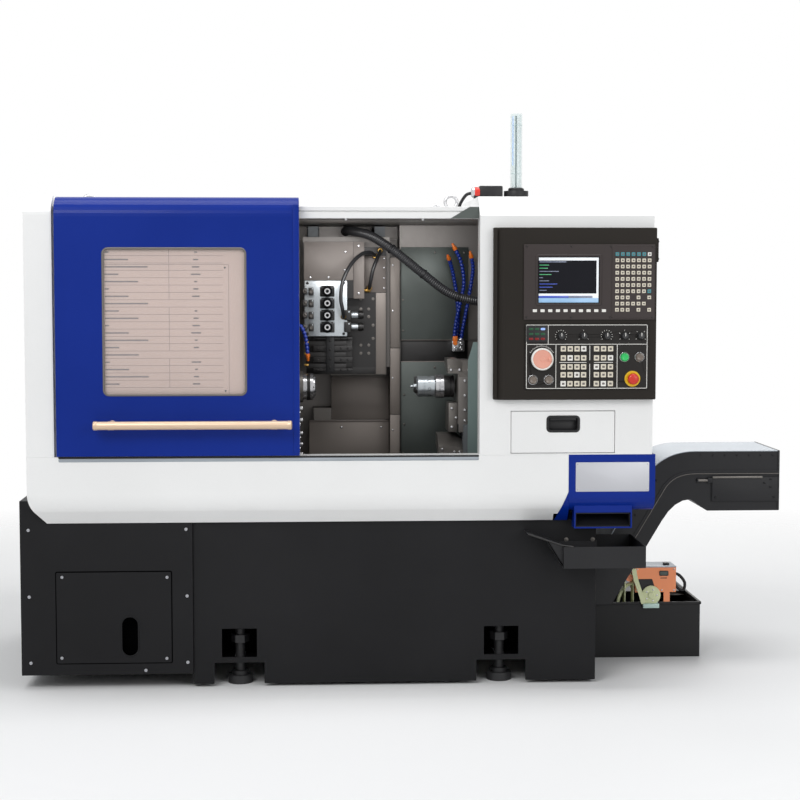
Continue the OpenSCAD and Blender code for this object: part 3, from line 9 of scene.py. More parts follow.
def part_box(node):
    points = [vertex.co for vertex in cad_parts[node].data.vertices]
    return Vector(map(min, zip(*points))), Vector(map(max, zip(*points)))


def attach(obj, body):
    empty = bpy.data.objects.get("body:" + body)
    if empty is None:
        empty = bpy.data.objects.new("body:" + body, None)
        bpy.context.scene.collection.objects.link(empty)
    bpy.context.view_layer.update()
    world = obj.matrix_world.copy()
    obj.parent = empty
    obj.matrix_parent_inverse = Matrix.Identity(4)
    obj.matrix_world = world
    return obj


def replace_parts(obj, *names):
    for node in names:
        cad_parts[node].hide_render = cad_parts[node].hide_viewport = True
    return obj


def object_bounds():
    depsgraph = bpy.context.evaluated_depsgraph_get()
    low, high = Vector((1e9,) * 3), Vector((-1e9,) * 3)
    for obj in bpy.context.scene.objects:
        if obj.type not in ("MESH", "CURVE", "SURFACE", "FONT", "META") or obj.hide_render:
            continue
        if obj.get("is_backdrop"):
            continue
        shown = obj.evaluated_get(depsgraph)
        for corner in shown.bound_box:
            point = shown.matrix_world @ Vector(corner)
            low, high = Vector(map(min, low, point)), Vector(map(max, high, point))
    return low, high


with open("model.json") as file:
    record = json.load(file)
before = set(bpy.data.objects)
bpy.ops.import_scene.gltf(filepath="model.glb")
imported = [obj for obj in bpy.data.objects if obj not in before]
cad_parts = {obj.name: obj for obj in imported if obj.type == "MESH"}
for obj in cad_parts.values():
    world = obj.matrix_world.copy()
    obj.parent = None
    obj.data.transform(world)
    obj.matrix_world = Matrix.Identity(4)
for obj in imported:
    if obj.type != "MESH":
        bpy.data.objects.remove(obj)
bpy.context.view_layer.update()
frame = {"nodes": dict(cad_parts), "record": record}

scene = bpy.context.scene
scene.view_settings.view_transform = "Standard"
MM = 0.001


# Camera, at the photograph's viewing angle

CAMERA_AT = (-0.373, -6.75, 1.471)
CAMERA_PITCH = 4
CAMERA_YAW = 3
CAMERA_LENS = 77.1

camera_data = bpy.data.cameras.new("camera")
camera_data.lens = CAMERA_LENS
camera = bpy.data.objects.new("camera", camera_data)
camera.location = CAMERA_AT
camera.rotation_euler = (math.radians(90 - CAMERA_PITCH), 0, math.radians(-CAMERA_YAW))
scene.collection.objects.link(camera)
scene.camera = camera


# Light: a white surround and large soft lamps

def socket_mix(tree, factor, low, high):
    """Mix of two colours, each a colour or an output socket."""
    node = tree.nodes.new("ShaderNodeMix")
    node.data_type = "RGBA"
    for index, value in ((0, factor), (6, low), (7, high)):
        if isinstance(value, bpy.types.NodeSocket):
            tree.links.new(value, node.inputs[index])
        else:
            node.inputs[index].default_value = value
    return node.outputs[2]


def seen_directly(tree):
    """1 for camera, glossy and transmission rays, and 0 for the rays that light the object."""
    path = tree.nodes.new("ShaderNodeLightPath")
    most = path.outputs["Is Camera Ray"]
    for name in ("Is Glossy Ray", "Is Transmission Ray"):
        node = tree.nodes.new("ShaderNodeMath")
        node.operation = "MAXIMUM"
        tree.links.new(most, node.inputs[0])
        tree.links.new(path.outputs[name], node.inputs[1])
        most = node.outputs[0]
    return most


SURROUND_LIGHT = (0.4, 0.41, 0.42, 1)
WHITE = (1, 1, 1, 1)

world = bpy.data.worlds.new("studio")
world.use_nodes = True
scene.world = world
surround = world.node_tree.nodes["Background"]
world.node_tree.links.new(
    socket_mix(world.node_tree, seen_directly(world.node_tree), SURROUND_LIGHT, WHITE),
    surround.inputs["Color"],
)


def area_lamp(name, place, target, size, watts):
    """A soft lamp that looks at a target."""
    data = bpy.data.lights.new(name, "AREA")
    data.shape = "RECTANGLE"
    data.size, data.size_y = size
    data.energy = watts
    lamp = bpy.data.objects.new(name, data)
    lamp.location = place
    lamp.rotation_euler = (Vector(target) - Vector(place)).to_track_quat("-Z", "Y").to_euler()
    scene.collection.objects.link(lamp)


area_lamp("key_lamp", (-2.6, -4.6, 4.2), (-0.1, -0.5, 1.0), (3.0, 2.0), 115)
area_lamp("fill_lamp", (3.2, -5.0, 2.6), (0.2, -0.5, 1.0), (2.5, 2.5), 60)
area_lamp("top_lamp", (0.0, -0.6, 4.4), (0.0, -0.3, 1.7), (4.0, 1.2), 75)
area_lamp("work_lamp", (-0.1, -0.56, 1.64), (-0.1, 0.05, 1.15), (0.6, 0.06), 2.2)
area_lamp("rear_lamp", (1.5, 4.5, 3.5), (0.0, 0.5, 1.0), (3.0, 2.0), 80)


# Materials

def noise(tree, scale, detail=2.0, stretch=(1, 1, 1)):
    """A noise value over the object, in metres, drawn out along the axes with a small stretch."""
    place = tree.nodes.new("ShaderNodeTexCoord")
    mapping = tree.nodes.new("ShaderNodeMapping")
    mapping.inputs["Scale"].default_value = stretch
    tree.links.new(place.outputs["Object"], mapping.inputs["Vector"])
    node = tree.nodes.new("ShaderNodeTexNoise")
    node.inputs["Scale"].default_value = scale
    node.inputs["Detail"].default_value = detail
    tree.links.new(mapping.outputs["Vector"], node.inputs["Vector"])
    return node.outputs["Fac"]


def spread(tree, value, low, high):
    """A noise value, mostly from 0.3 to 0.7, brought to a range."""
    node = tree.nodes.new("ShaderNodeMapRange")
    node.inputs["From Min"].default_value = 0.3
    node.inputs["From Max"].default_value = 0.7
    node.inputs["To Min"].default_value = low
    node.inputs["To Max"].default_value = high
    tree.links.new(value, node.inputs["Value"])
    return node.outputs["Result"]


def linear(colour):
    """An sRGB colour from 0 to 255 as linear light."""
    return [((c / 255 + 0.055) / 1.055) ** 2.4 if c > 10 else c / 3295 for c in colour]


MATERIALS = {}


def finish(name, colour, rough, metal=0.0, vary=0.05, blotch=2.5, grain=1500, bump=0.05, depth=0.2,
           stretch=(1, 1, 1), coat=0.0, alpha=1.0, glow=0.0, shine=0.5):
    """A painted, moulded or metal finish: blotches in the colour, and a grain in roughness and relief."""
    mat = bpy.data.materials.new(name)
    mat.use_nodes = True
    tree = mat.node_tree
    shader = tree.nodes["Principled BSDF"]
    base = linear(colour)
    low = [c * (1 - vary) for c in base] + [1]
    high = [min(1, c * (1 + vary) + 0.002) for c in base] + [1]
    tone = socket_mix(tree, spread(tree, noise(tree, blotch, 4, stretch), 0, 1), low, high)
    tree.links.new(tone, shader.inputs["Base Color"])
    fine = noise(tree, grain, 2, stretch)
    tree.links.new(spread(tree, fine, rough * 0.88, min(1, rough * 1.12)), shader.inputs["Roughness"])
    relief = tree.nodes.new("ShaderNodeBump")
    relief.inputs["Strength"].default_value = bump
    relief.inputs["Distance"].default_value = depth * MM
    tree.links.new(fine, relief.inputs["Height"])
    tree.links.new(relief.outputs["Normal"], shader.inputs["Normal"])
    shader.inputs["Metallic"].default_value = metal
    shader.inputs["Specular IOR Level"].default_value = shine
    shader.inputs["Coat Weight"].default_value = coat
    shader.inputs["Coat Roughness"].default_value = 0.08
    shader.inputs["Alpha"].default_value = alpha
    if glow:
        tree.links.new(tone, shader.inputs["Emission Color"])
        shader.inputs["Emission Strength"].default_value = glow
    MATERIALS[name] = mat


def smooth(name, colour, rough, **more):
    """A glassy or printed finish without relief."""
    finish(name, colour, rough, grain=900, bump=0.0, **more)


ALONG_X = (0.03, 1, 1)
ALONG_Z = (1, 1, 0.03)

# Finishes of the record
finish("base_paint", (22, 22, 24), 0.5, vary=0.12, grain=1400, bump=0.25, shine=0.18)
finish("cast_bed", (92, 96, 99), 0.6, vary=0.12, grain=350, bump=0.4, depth=0.5)
finish("foot_rubber", (30, 30, 32), 0.55, grain=500, bump=0.3)
finish("white_paint", (240, 240, 239), 0.3, vary=0.015, grain=700, coat=0.2)
finish("blue_paint", (4, 40, 134), 0.3, vary=0.06, grain=700, bump=0.04, coat=0.04, shine=0.14)
smooth("window_glass", (232, 230, 230), 0.06, vary=0.02, alpha=0.14)
finish("handle_alu", (222, 194, 166), 0.34, metal=0.45, vary=0.03, grain=2500, stretch=ALONG_X, bump=0.06)
finish("lining_steel", (112, 108, 105), 0.42, metal=0.55, vary=0.1, stretch=ALONG_Z, bump=0.1)
finish("cover_steel", (112, 108, 104), 0.4, metal=0.6, vary=0.1, stretch=ALONG_X, bump=0.1)
finish("bright_steel", (196, 196, 198), 0.26, metal=0.9, vary=0.08, grain=2500, stretch=ALONG_X, bump=0.06)
finish("dark_steel", (52, 51, 51), 0.38, metal=0.6, vary=0.12, grain=1200, bump=0.12)
finish("console_paint", (36, 32, 28), 0.5, vary=0.08, grain=1800, bump=0.3, shine=0.16)
finish("panel_film", (57, 50, 49), 0.42, grain=2500, bump=0.12, shine=0.25)
smooth("screen_glass", (12, 13, 22), 0.3, shine=0.15)
finish("key_plastic", (222, 214, 196), 0.42, vary=0.04, grain=2500, bump=0.1)
finish("knob_plastic", (32, 32, 34), 0.36, grain=2500, bump=0.12)
finish("wheel_plastic", (230, 164, 144), 0.32, vary=0.04)
finish("red_plastic", (208, 40, 20), 0.32, vary=0.06, coat=0.15)
finish("green_plastic", (36, 176, 88), 0.3, vary=0.06, glow=0.25)
finish("button_metal", (214, 215, 217), 0.22, metal=0.85, grain=2500)
smooth("lamp_plastic", (206, 226, 226), 0.12, vary=0.02, alpha=0.22)
finish("black_plastic", (22, 22, 24), 0.45, grain=2000, bump=0.2, shine=0.35)
finish("conveyor_paint", (33, 33, 35), 0.46, vary=0.1, grain=1400, bump=0.2, shine=0.25)
finish("tank_paint", (29, 29, 30), 0.48, vary=0.12, grain=1400, bump=0.2, shine=0.25)
finish("skimmer_paint", (252, 150, 98), 0.35, vary=0.08, grain=1200, bump=0.08, coat=0.2)
finish("belt_fabric", (216, 222, 178), 0.6, vary=0.1, grain=1800, bump=0.4)
finish("hose_rubber", (44, 44, 46), 0.34, vary=0.1, grain=900, bump=0.15)
finish("nozzle_plastic", (24, 52, 150), 0.34, vary=0.08, bump=0.08)

# Finishes of the added pieces
finish("paper", (206, 180, 168), 0.7, vary=0.03, grain=1800)
finish("sheet_line", (112, 98, 98), 0.7, grain=900)
finish("sheet_mark", (104, 92, 92), 0.7, vary=0.1, blotch=60, grain=900)
finish("teal_plastic", (62, 140, 150), 0.4, grain=2500, bump=0.1)
finish("white_plastic", (240, 238, 232), 0.4, vary=0.02, grain=2500, bump=0.08)
finish("grey_plastic", (104, 98, 94), 0.42, grain=2500, bump=0.1)
finish("yellow_plastic", (240, 196, 30), 0.35)
finish("orange_plastic", (232, 120, 40), 0.35, vary=0.06, bump=0.06)
smooth("dark_lens", (46, 62, 54), 0.2, vary=0.08, coat=0.4)
finish("brass", (190, 150, 80), 0.3, metal=0.9, vary=0.08, grain=2500, bump=0.06)
finish("cover_sheet", (118, 110, 105), 0.45, metal=0.2, vary=0.06, bump=0.06)
finish("column_sheet", (132, 124, 118), 0.45, metal=0.35, vary=0.08, bump=0.06)
finish("wall_sheet", (80, 86, 83), 0.4, metal=0.45, vary=0.14, blotch=5, bump=0.06)
# A lighter, more teal copy of the lining's sheet, for the jamb: painted light
finish("painted_light_jamb_sheet", (118, 136, 134), 0.4, metal=0.3, vary=0.08, bump=0.06)
finish("block_steel", (188, 194, 198), 0.3, metal=0.7, vary=0.08, grain=2500, bump=0.06)
finish("black_steel", (34, 35, 37), 0.26, metal=0.5, vary=0.1, grain=2000, bump=0.06)
finish("plate_silver", (188, 189, 194), 0.35, metal=0.3, grain=2500)
# A near black for painted shade: behind openings and in the gap round the access panel
finish("painted_shade_black", (5, 5, 6), 0.9, vary=0.02, shine=0.0)
# A pale grey; on the conveyor's top it paints the sheen of light from above
finish("pale_grey_and_painted_sheen", (158, 165, 172), 0.45, metal=0.2, vary=0.08, bump=0.06)
finish("scraper_plastic", (196, 222, 214), 0.35)
smooth("screen_white", (232, 236, 240), 0.2, vary=0.02, glow=0.25)
smooth("screen_grey", (120, 128, 150), 0.2, vary=0.3, blotch=240, glow=0.1)
smooth("screen_blue", (60, 86, 190), 0.2, vary=0.08, blotch=30, glow=0.15)
smooth("screen_green", (70, 170, 110), 0.2, vary=0.08, blotch=30, glow=0.15)
finish("operator_film", (27, 24, 22), 0.42, vary=0.06, grain=2500, bump=0.12, shine=0.25)
smooth("red_lens", (132, 26, 28), 0.3, shine=0.3)
smooth("green_lens", (34, 84, 54), 0.3, shine=0.3)
smooth("blue_lens", (150, 180, 240), 0.25, glow=0.35)
smooth("button_lens", (112, 100, 90), 0.25, vary=0.06, coat=0.3)
smooth("screen_pale", (150, 190, 226), 0.2, blotch=30, glow=0.15)

for subpart in frame["record"]["subparts"]:
    data = frame["nodes"][subpart["node"]].data
    data.materials.clear()
    data.materials.append(MATERIALS[subpart["material_slot"]])
frame["nodes"]["operator_panel"].data.materials[0] = MATERIALS["operator_film"]


# Floor that fades into the white surround

FLOOR_SIZE = 14
FLOOR_COLOUR = (0.9, 0.9, 0.9, 1)

floor_bm = bmesh.new()
bmesh.ops.create_grid(floor_bm, x_segments=8, y_segments=8, size=FLOOR_SIZE / 2)
floor_mesh = bpy.data.meshes.new("floor")
floor_bm.to_mesh(floor_mesh)
floor_bm.free()
floor = bpy.data.objects.new("floor", floor_mesh)
floor_mat = bpy.data.materials.new("floor")
floor_mat.use_nodes = True
floor_tree = floor_mat.node_tree
floor_shader = floor_tree.nodes["Principled BSDF"]
floor_shader.inputs["Base Color"].default_value = FLOOR_COLOUR
floor_shader.inputs["Roughness"].default_value = 0.8
floor_place = floor_tree.nodes.new("ShaderNodeTexCoord")
floor_fade = floor_tree.nodes.new("ShaderNodeTexGradient")
floor_fade.gradient_type = "SPHERICAL"
floor_scale = floor_tree.nodes.new("ShaderNodeMapping")
floor_scale.inputs["Scale"].default_value = (2 / FLOOR_SIZE,) * 3
floor_tree.links.new(floor_place.outputs["Object"], floor_scale.inputs["Vector"])
floor_tree.links.new(floor_scale.outputs["Vector"], floor_fade.inputs["Vector"])
floor_tree.links.new(spread(floor_tree, floor_fade.outputs["Fac"], 0, 1), floor_shader.inputs["Alpha"])
floor_mesh.materials.append(floor_mat)
scene.collection.objects.link(floor)
floor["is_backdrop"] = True


# Mesh building, in millimetres

FRONT = (0, -1, 0)
RIGHT = (1, 0, 0)
LEFT = (-1, 0, 0)
BACK = (0, 1, 0)
UP = (0, 0, 1)
DOWN = (0, 0, -1)


def about(middle, half):
    """A span with a given middle and half length."""
    return middle - half, middle + half


def inset(span, by):
    """A span drawn in at both ends."""
    return span[0] + by, span[1] - by


def mark_new(bm, mat):
    """Gives the faces made since the last call a material."""
    done = bm.faces.layers.int.get("done") or bm.faces.layers.int.new("done")
    for face in bm.faces:
        if not face[done]:
            face.material_index = mat
            face[done] = 1


def box(bm, low, high, bevel=1.0, mat=0, segments=2, move=Matrix()):
    """A box between two corners with rounded edges, moved by a matrix."""
    low, high = Vector(low) * MM, Vector(high) * MM
    place = move @ Matrix.Translation((low + high) / 2) @ Matrix.Diagonal((*(high - low), 1))
    verts = bmesh.ops.create_cube(bm, size=1, matrix=place)["verts"]
    edges = list({edge for vert in verts for edge in vert.link_edges})
    bmesh.ops.bevel(bm, geom=edges, offset=bevel * MM, segments=segments, profile=0.5, affect="EDGES",
                    clamp_overlap=True)
    mark_new(bm, mat)


def loft(bm, loops, mat=0, closed=False, caps=(True, True)):
    """Skin over rows of points; a row of one point is a tip."""
    rows = [[bm.verts.new(Vector(point) * MM) for point in loop] for loop in loops]
    pairs = list(zip(rows, rows[1:]))
    if closed:
        pairs.append((rows[-1], rows[0]))
    for a, b in pairs:
        for k in range(max(len(a), len(b))):
            corners = [a[k % len(a)], a[(k + 1) % len(a)], b[(k + 1) % len(b)], b[k % len(b)]]
            corners = list(dict.fromkeys(corners))
            if len(corners) > 2:
                bm.faces.new(corners)
    for row, cap in ((rows[0], caps[0]), (rows[-1], caps[1])):
        if cap and not closed and len(row) > 2:
            bm.faces.new(row)
    mark_new(bm, mat)


def turned(bm, at, axis, profile, mat=0, sides=24, closed=False):
    """A turned shape: radius and height pairs about an axis through a point."""
    turn = Vector(axis).to_track_quat("Z", "Y").to_matrix()
    loops = []
    for radius, height in profile:
        angles = [2 * math.pi * k / sides for k in range(sides if radius else 1)]
        loops.append([
            Vector(at) + turn @ Vector((radius * math.cos(a), radius * math.sin(a), height)) for a in angles
        ])
    loft(bm, loops, mat, closed)


def round_loop(x, z, r, y, steps=5):
    """A rectangle with round corners in X and Z at one Y."""
    loop = []
    for cx, cz, start in ((x[1] - r, z[1] - r, 0), (x[0] + r, z[1] - r, 90),
                          (x[0] + r, z[0] + r, 180), (x[1] - r, z[0] + r, 270)):
        for k in range(steps + 1):
            a = math.radians(start + 90 * k / steps)
            loop.append((cx + r * math.cos(a), y, cz + r * math.sin(a)))
    return loop


def plate(bm, x, z, y_back, y_front, r=3.0, edge=1.0, mat=0):
    """A plate facing -Y with round corners and a softened front edge."""
    loft(bm, [
        round_loop(x, z, r, y_back),
        round_loop(x, z, r, y_front + edge),
        round_loop(inset(x, edge * 0.3), inset(z, edge * 0.3), r, y_front + edge * 0.3),
        round_loop(inset(x, edge), inset(z, edge), r, y_front),
    ], mat)


def rim(bm, x, z, band, y_back, y_front, r=5.0, edge=1.0, mat=0):
    """A raised frame facing -Y round an opening that is given by its inner sides."""
    def ring(grow, y):
        return round_loop(inset(x, -grow), inset(z, -grow), r + grow, y)
    loft(bm, [ring(band, y_back), ring(band, y_front + edge), ring(band - edge, y_front),
              ring(edge, y_front), ring(0, y_front + edge), ring(0, y_back)], mat, closed=True)


def screw(bm, at, axis, d, mat=0):
    """A button-head screw with a socket."""
    r = d / 2
    turned(bm, at, axis, [(0, 0), (r, 0), (r, 0.25 * d), (0.8 * r, 0.42 * d), (0.5 * r, 0.46 * d),
                          (0.45 * r, 0.2 * d), (0, 0.2 * d)], mat, 16)


def screws(bm, places, y, d, mat=0):
    """Screws at X and Z places of a face that looks to the front."""
    for x, z in places:
        screw(bm, (x, y, z), FRONT, d, mat)


def slab(bm, outline, ys, mat=0):
    """An outline in X and Z carried from one Y to another."""
    loft(bm, [[(x, y, z) for x, z in outline] for y in ys], mat)


def ring_places(count, r):
    """Places evenly round a middle, as two coordinates."""
    angles = [2 * math.pi * k / count for k in range(count)]
    return [(r * math.cos(a), r * math.sin(a)) for a in angles]


def turn_at(at, angle, axis):
    """A turn about an axis through a place."""
    return Matrix.Translation(Vector(at) * MM) @ Matrix.Rotation(angle, 4, axis)


def curve_points(points, steps):
    """A smooth line through the given points."""
    points = [Vector(p) for p in points]
    line = []
    for i in range(len(points) - 1):
        a, b, c, d = (points[max(0, i - 1)], points[i], points[i + 1], points[min(len(points) - 1, i + 2)])
        for k in range(steps):
            u = k / steps
            line.append(0.5 * (2 * b + (c - a) * u + (2 * a - 5 * b + 4 * c - d) * u * u
                               + (3 * b - a - 3 * c + d) * u ** 3))
    return line + [points[-1]]


def even_points(line, pitch):
    """The same line with points at an even pitch, and its length."""
    lengths = [0.0]
    for a, b in zip(line, line[1:]):
        lengths.append(lengths[-1] + (b - a).length)
    count = max(2, round(lengths[-1] / pitch))
    even, i = [], 0
    for k in range(count + 1):
        want = lengths[-1] * k / count
        while i < len(lengths) - 2 and lengths[i + 1] < want:
            i += 1
        u = (want - lengths[i]) / max(1e-9, lengths[i + 1] - lengths[i])
        even.append(line[i].lerp(line[i + 1], u))
    return even, lengths[-1]


def swept(bm, line, radii, mat=0, sides=14, caps=(True, True)):
    """A tube along a line, with a radius for each of its points."""
    loops, side, last = [], None, None
    for i, point in enumerate(line):
        along = (line[min(i + 1, len(line) - 1)] - line[max(i - 1, 0)]).normalized()
        if side is None:
            side = along.orthogonal().normalized()
        else:
            side = last.rotation_difference(along) @ side
        last = along
        up = along.cross(side)
        loops.append([point + radii[i] * (math.cos(2 * math.pi * k / sides) * side
                                          + math.sin(2 * math.pi * k / sides) * up) for k in range(sides)])
    loft(bm, loops, mat, caps=caps)


def piece(name, bm, slots, body="machine", angle=40):
    """Makes a piece of a mesh that rides on a body."""
    bm.faces.layers.int.remove(bm.faces.layers.int["done"])
    bmesh.ops.recalc_face_normals(bm, faces=bm.faces)
    mesh = bpy.data.meshes.new(name)
    bm.to_mesh(mesh)
    bm.free()
    for slot in slots:
        mesh.materials.append(MATERIALS[slot])
    for polygon in mesh.polygons:
        polygon.use_smooth = True
    mesh.set_sharp_from_angle(angle=math.radians(angle))
    obj = bpy.data.objects.new(name, mesh)
    scene.collection.objects.link(obj)
    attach(obj, body)
    return obj


def sides_of(node):
    """Lowest and highest corner of a CAD node, in millimetres."""
    low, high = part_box(node)
    return low / MM, high / MM


# Door: gasket, ruled sheet behind the pane, edge strip and handle fittings

door_low, door_high = sides_of("door_panel")
pane_low, pane_high = sides_of("door_window")
PANE_X = (pane_low.x, pane_high.x)
PANE_Z = (pane_low.z, pane_high.z)
PANE_LAP = 15
WINDOW_X = inset(PANE_X, PANE_LAP)
WINDOW_Z = inset(PANE_Z, PANE_LAP)
WINDOW_R = 18

bm = bmesh.new()
rim(bm, inset(WINDOW_X, 3), inset(WINDOW_Z, 3), 7, pane_low.y, door_low.y - 2, WINDOW_R - 3, 1.2)
piece("window_gasket", bm, ["cover_steel"], "door")

SHEET_GAP = 0.6
SHEET_T = 0.8
SHEET_ROWS = 19
SHEET_TITLE_ROWS = (7, 14)
SHEET_COLUMN_SHARE = 0.46
SHEET_VALUE_SHARE = 0.65
SHEET_END_SHARE = 0.84
SHEET_BORDER_SHARE = 0.88
SHEET_LINE = 1.3

bm = bmesh.new()
sheet_y = pane_high.y + SHEET_GAP
plate(bm, inset(PANE_X, 4), inset(PANE_Z, 4), sheet_y + SHEET_T, sheet_y, 2, 0.2)


def printed(xs, zs, mat, radius=0.3):
    """A printed line or mark on the sheet behind the door's window."""
    plate(bm, xs, zs, sheet_y + 0.1, sheet_y - 0.25, radius, 0.1, mat)


def sheet_x(share):
    """A place along the window, as a share of its length."""
    return WINDOW_X[0] + share * (WINDOW_X[1] - WINDOW_X[0])


row_h = (WINDOW_Z[1] - WINDOW_Z[0]) / (SHEET_ROWS + 1)
column_x = sheet_x(SHEET_COLUMN_SHARE)
border_x = sheet_x(SHEET_BORDER_SHARE)
for k in range(SHEET_ROWS):
    z = WINDOW_Z[1] - (k + 1) * row_h
    printed((pane_low.x + 6, sheet_x(SHEET_END_SHARE)), (z, z + SHEET_LINE), 1)
    mark_z = (z + 0.4 * row_h, z + 0.6 * row_h)
    printed((WINDOW_X[0] + 5, WINDOW_X[0] + 20 + 34 * ((k * 7) % 5)), mark_z, 2)
    if k not in SHEET_TITLE_ROWS:
        printed((column_x, column_x + SHEET_LINE), (z, z + row_h), 1)
        value_l = 5 + 4 * ((k * 5) % 4)
        printed(about(sheet_x(SHEET_VALUE_SHARE), value_l), mark_z, 2)
border_z = (WINDOW_Z[0], WINDOW_Z[1] - 2.2 * row_h)
printed((border_x, border_x + SHEET_LINE), border_z, 1)
printed((pane_low.x + 6, border_x), (border_z[1], border_z[1] + SHEET_LINE), 1)
for z in (border_z[0] + 10, border_z[1] - 14):
    printed((border_x - 16, border_x - 9), (z, z + 7), 3, 3.4)
piece("window_sheet", bm, ["paper", "sheet_line", "sheet_mark", "dark_steel"], "door")

EDGE_STRIP_L = 22
EDGE_STRIP_Z = (858, 1736)
bm = bmesh.new()
strip_x = (door_high.x - EDGE_STRIP_L, door_high.x)
plate(bm, strip_x, EDGE_STRIP_Z, door_low.y + 0.5, door_low.y - 2.5, 2, 0.8)
piece("door_edge_strip", bm, ["blue_paint"], "door")

handle_low, handle_high = sides_of("door_handle")
handle_r = (handle_high.z - handle_low.z) / 2
handle_mid = Vector(((handle_low.x + handle_high.x) / 2, handle_low.y + handle_r, handle_low.z + handle_r))
HANDLE_POST_INSET = 60
HANDLE_SIDES = 32
HANDLE_POST = [(0, 0), (15, 0), (15, 3), (13, 5), (9, 6), (9, 22), (0, 22)]
HANDLE_CAP = [(0.8, -12), (1.2, -11), (1.2, 0), (-2, 3)]
HANDLE_CLAMP = [(-1, 0), (0.9, 0.6), (0.9, 21.4), (-1, 22)]
cap = [(0, -12)] + [(handle_r + grow, rise) for grow, rise in HANDLE_CAP] + [(0, 4)]
clamp = [(handle_r + grow, rise) for grow, rise in HANDLE_CLAMP]

bm = bmesh.new()
for end, axis in ((handle_low.x, LEFT), (handle_high.x, RIGHT)):
    turned(bm, (end, handle_mid.y, handle_mid.z), axis, cap, 0, HANDLE_SIDES)
for x in inset((handle_low.x, handle_high.x), HANDLE_POST_INSET):
    turned(bm, (x, door_low.y, handle_mid.z), FRONT, HANDLE_POST, 0, HANDLE_SIDES)
    turned(bm, (x - 11, handle_mid.y, handle_mid.z), RIGHT, clamp, 0, HANDLE_SIDES)
piece("handle_fittings", bm, ["handle_alu"], "door")


# Cords: the cable conduit over the work area and two hoses on the tool plate

CONDUIT_D = 36
CONDUIT_ROUTE = [
    (-230, 190, 1666), (-230, 100, 1666), (-228, 10, 1666), (-205, -90, 1660), (-140, -170, 1640),
    (-50, -215, 1580), (50, -235, 1500), (150, -240, 1425), (240, -235, 1395), (330, -225, 1388),
    (420, -220, 1388), (497, -220, 1388),
]
HOSE_D = 14
HOSE_ROUTES = [
    [(-245, -151, 1330), (-245, -175, 1332), (-250, -206, 1362), (-256, -212, 1400), (-252, -208, 1450),
     (-235, -196, 1500), (-205, -170, 1545), (-172, -140, 1572), (-142, -112, 1578), (-122, -72, 1568),
     (-120, -41, 1565)],
    [(-142, -41, 1440), (-142, -75, 1442), (-138, -102, 1470), (-130, -108, 1510), (-115, -98, 1550),
     (-101, -70, 1582), (-100, -41, 1586)],
]


def cord_piece(name, route, d, node, body, pitch, ribs, slot):
    """A cord along a route of the CAD, ribbed where it is a corrugated conduit."""
    line, length = even_points(curve_points(route, 24), pitch)
    radii = [d / 2 * ribs[k % len(ribs)] for k in range(len(line))]
    bm = bmesh.new()
    swept(bm, line, radii, 0, 20)
    obj = piece(name, bm, [slot], body, 60)
    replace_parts(obj, node)
    return line


conduit_line = cord_piece("cable_conduit_ribbed", CONDUIT_ROUTE, CONDUIT_D, "cable_conduit", "machine", 1.6,
                          (1.0, 1.0, 0.9, 0.84, 0.9), "hose_rubber")
for index, route in enumerate(HOSE_ROUTES):
    cord_piece(f"tool_hose_{index + 1}", route, HOSE_D, "tool_hoses", "tool_plate", 4, (1.0,),
               "hose_rubber")


# Console: bezels, screen, keys, printed lines, switches and lamps

console_low, console_high = sides_of("console_housing")
display_low, display_high = sides_of("display_panel")
operator_low, operator_high = sides_of("operator_panel")
screen_low, screen_high = sides_of("display_screen")
KEY_Y = display_low.y
KEY_RISE = 3.0
KEY_FORM = [(0, -0.05), (0, 0.55), (0.5, 0.85), (1.3, 1.0), (2.6, 0.86)]
SOFT_KEY = (15, 10)
PAD_KEY = (13, 13)
MODE_KEY = (19, 19)
PAD_GAPS = {(3, 2), (5, 2), (6, 1), (3, 0), (5, 0)}
MODE_XS = [0.426, 0.468, 0.510, 0.551, 0.630, 0.673, 0.716]
MODE_ZS = [0.095, 0.147, 0.193, 0.245, 0.298]


def within(low, high, x_share, z_share):
    """A place in X and Z by shares of the way between two corners."""
    return low.x + x_share * (high.x - low.x), low.z + z_share * (high.z - low.z)


def on_console(x_share, z_share):
    """A place on the console's front, by shares of the housing."""
    x, z = within(console_low, console_high, x_share, z_share)
    return Vector((x, KEY_Y, z))


def key(bm, at, size, mat, mark=None):
    """A moulded key with a dished top and a plain mark on it."""
    x_span, z_span = about(at.x, size[0] / 2), about(at.z, size[1] / 2)
    loft(bm, [round_loop(inset(x_span, draw_in), inset(z_span, draw_in), 1.4, KEY_Y - rise * KEY_RISE, 3)
              for draw_in, rise in KEY_FORM], mat)
    if mark is not None:
        plate(bm, about(at.x, 0.24 * size[0]), about(at.z, 0.2 * size[1]),
              KEY_Y - 0.6 * KEY_RISE, KEY_Y - 0.92 * KEY_RISE, 0.8, 0.2, mark)


bm = bmesh.new()
for k in range(10):
    key(bm, on_console(0.250 + 0.047 * k, 0.519), SOFT_KEY, 1)
for column in range(7):
    for row in range(10):
        if (column, row) in PAD_GAPS:
            continue
        mat = 1 if (column, row) == (6, 9) else 2 if row == 9 or (column, row) == (6, 3) else 0
        key(bm, on_console(0.753 + 0.033 * column, 0.524 + 0.0358 * row), PAD_KEY, mat, 3)
for column, x_share in enumerate(MODE_XS):
    for row, z_share in enumerate(MODE_ZS):
        key(bm, on_console(x_share, z_share), MODE_KEY, 1 if (column * 2 + row) % 5 == 0 else 0, 3)
keys = piece("console_keys", bm, ["key_plastic", "white_plastic", "teal_plastic", "grey_plastic"])
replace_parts(keys, "control_keys")

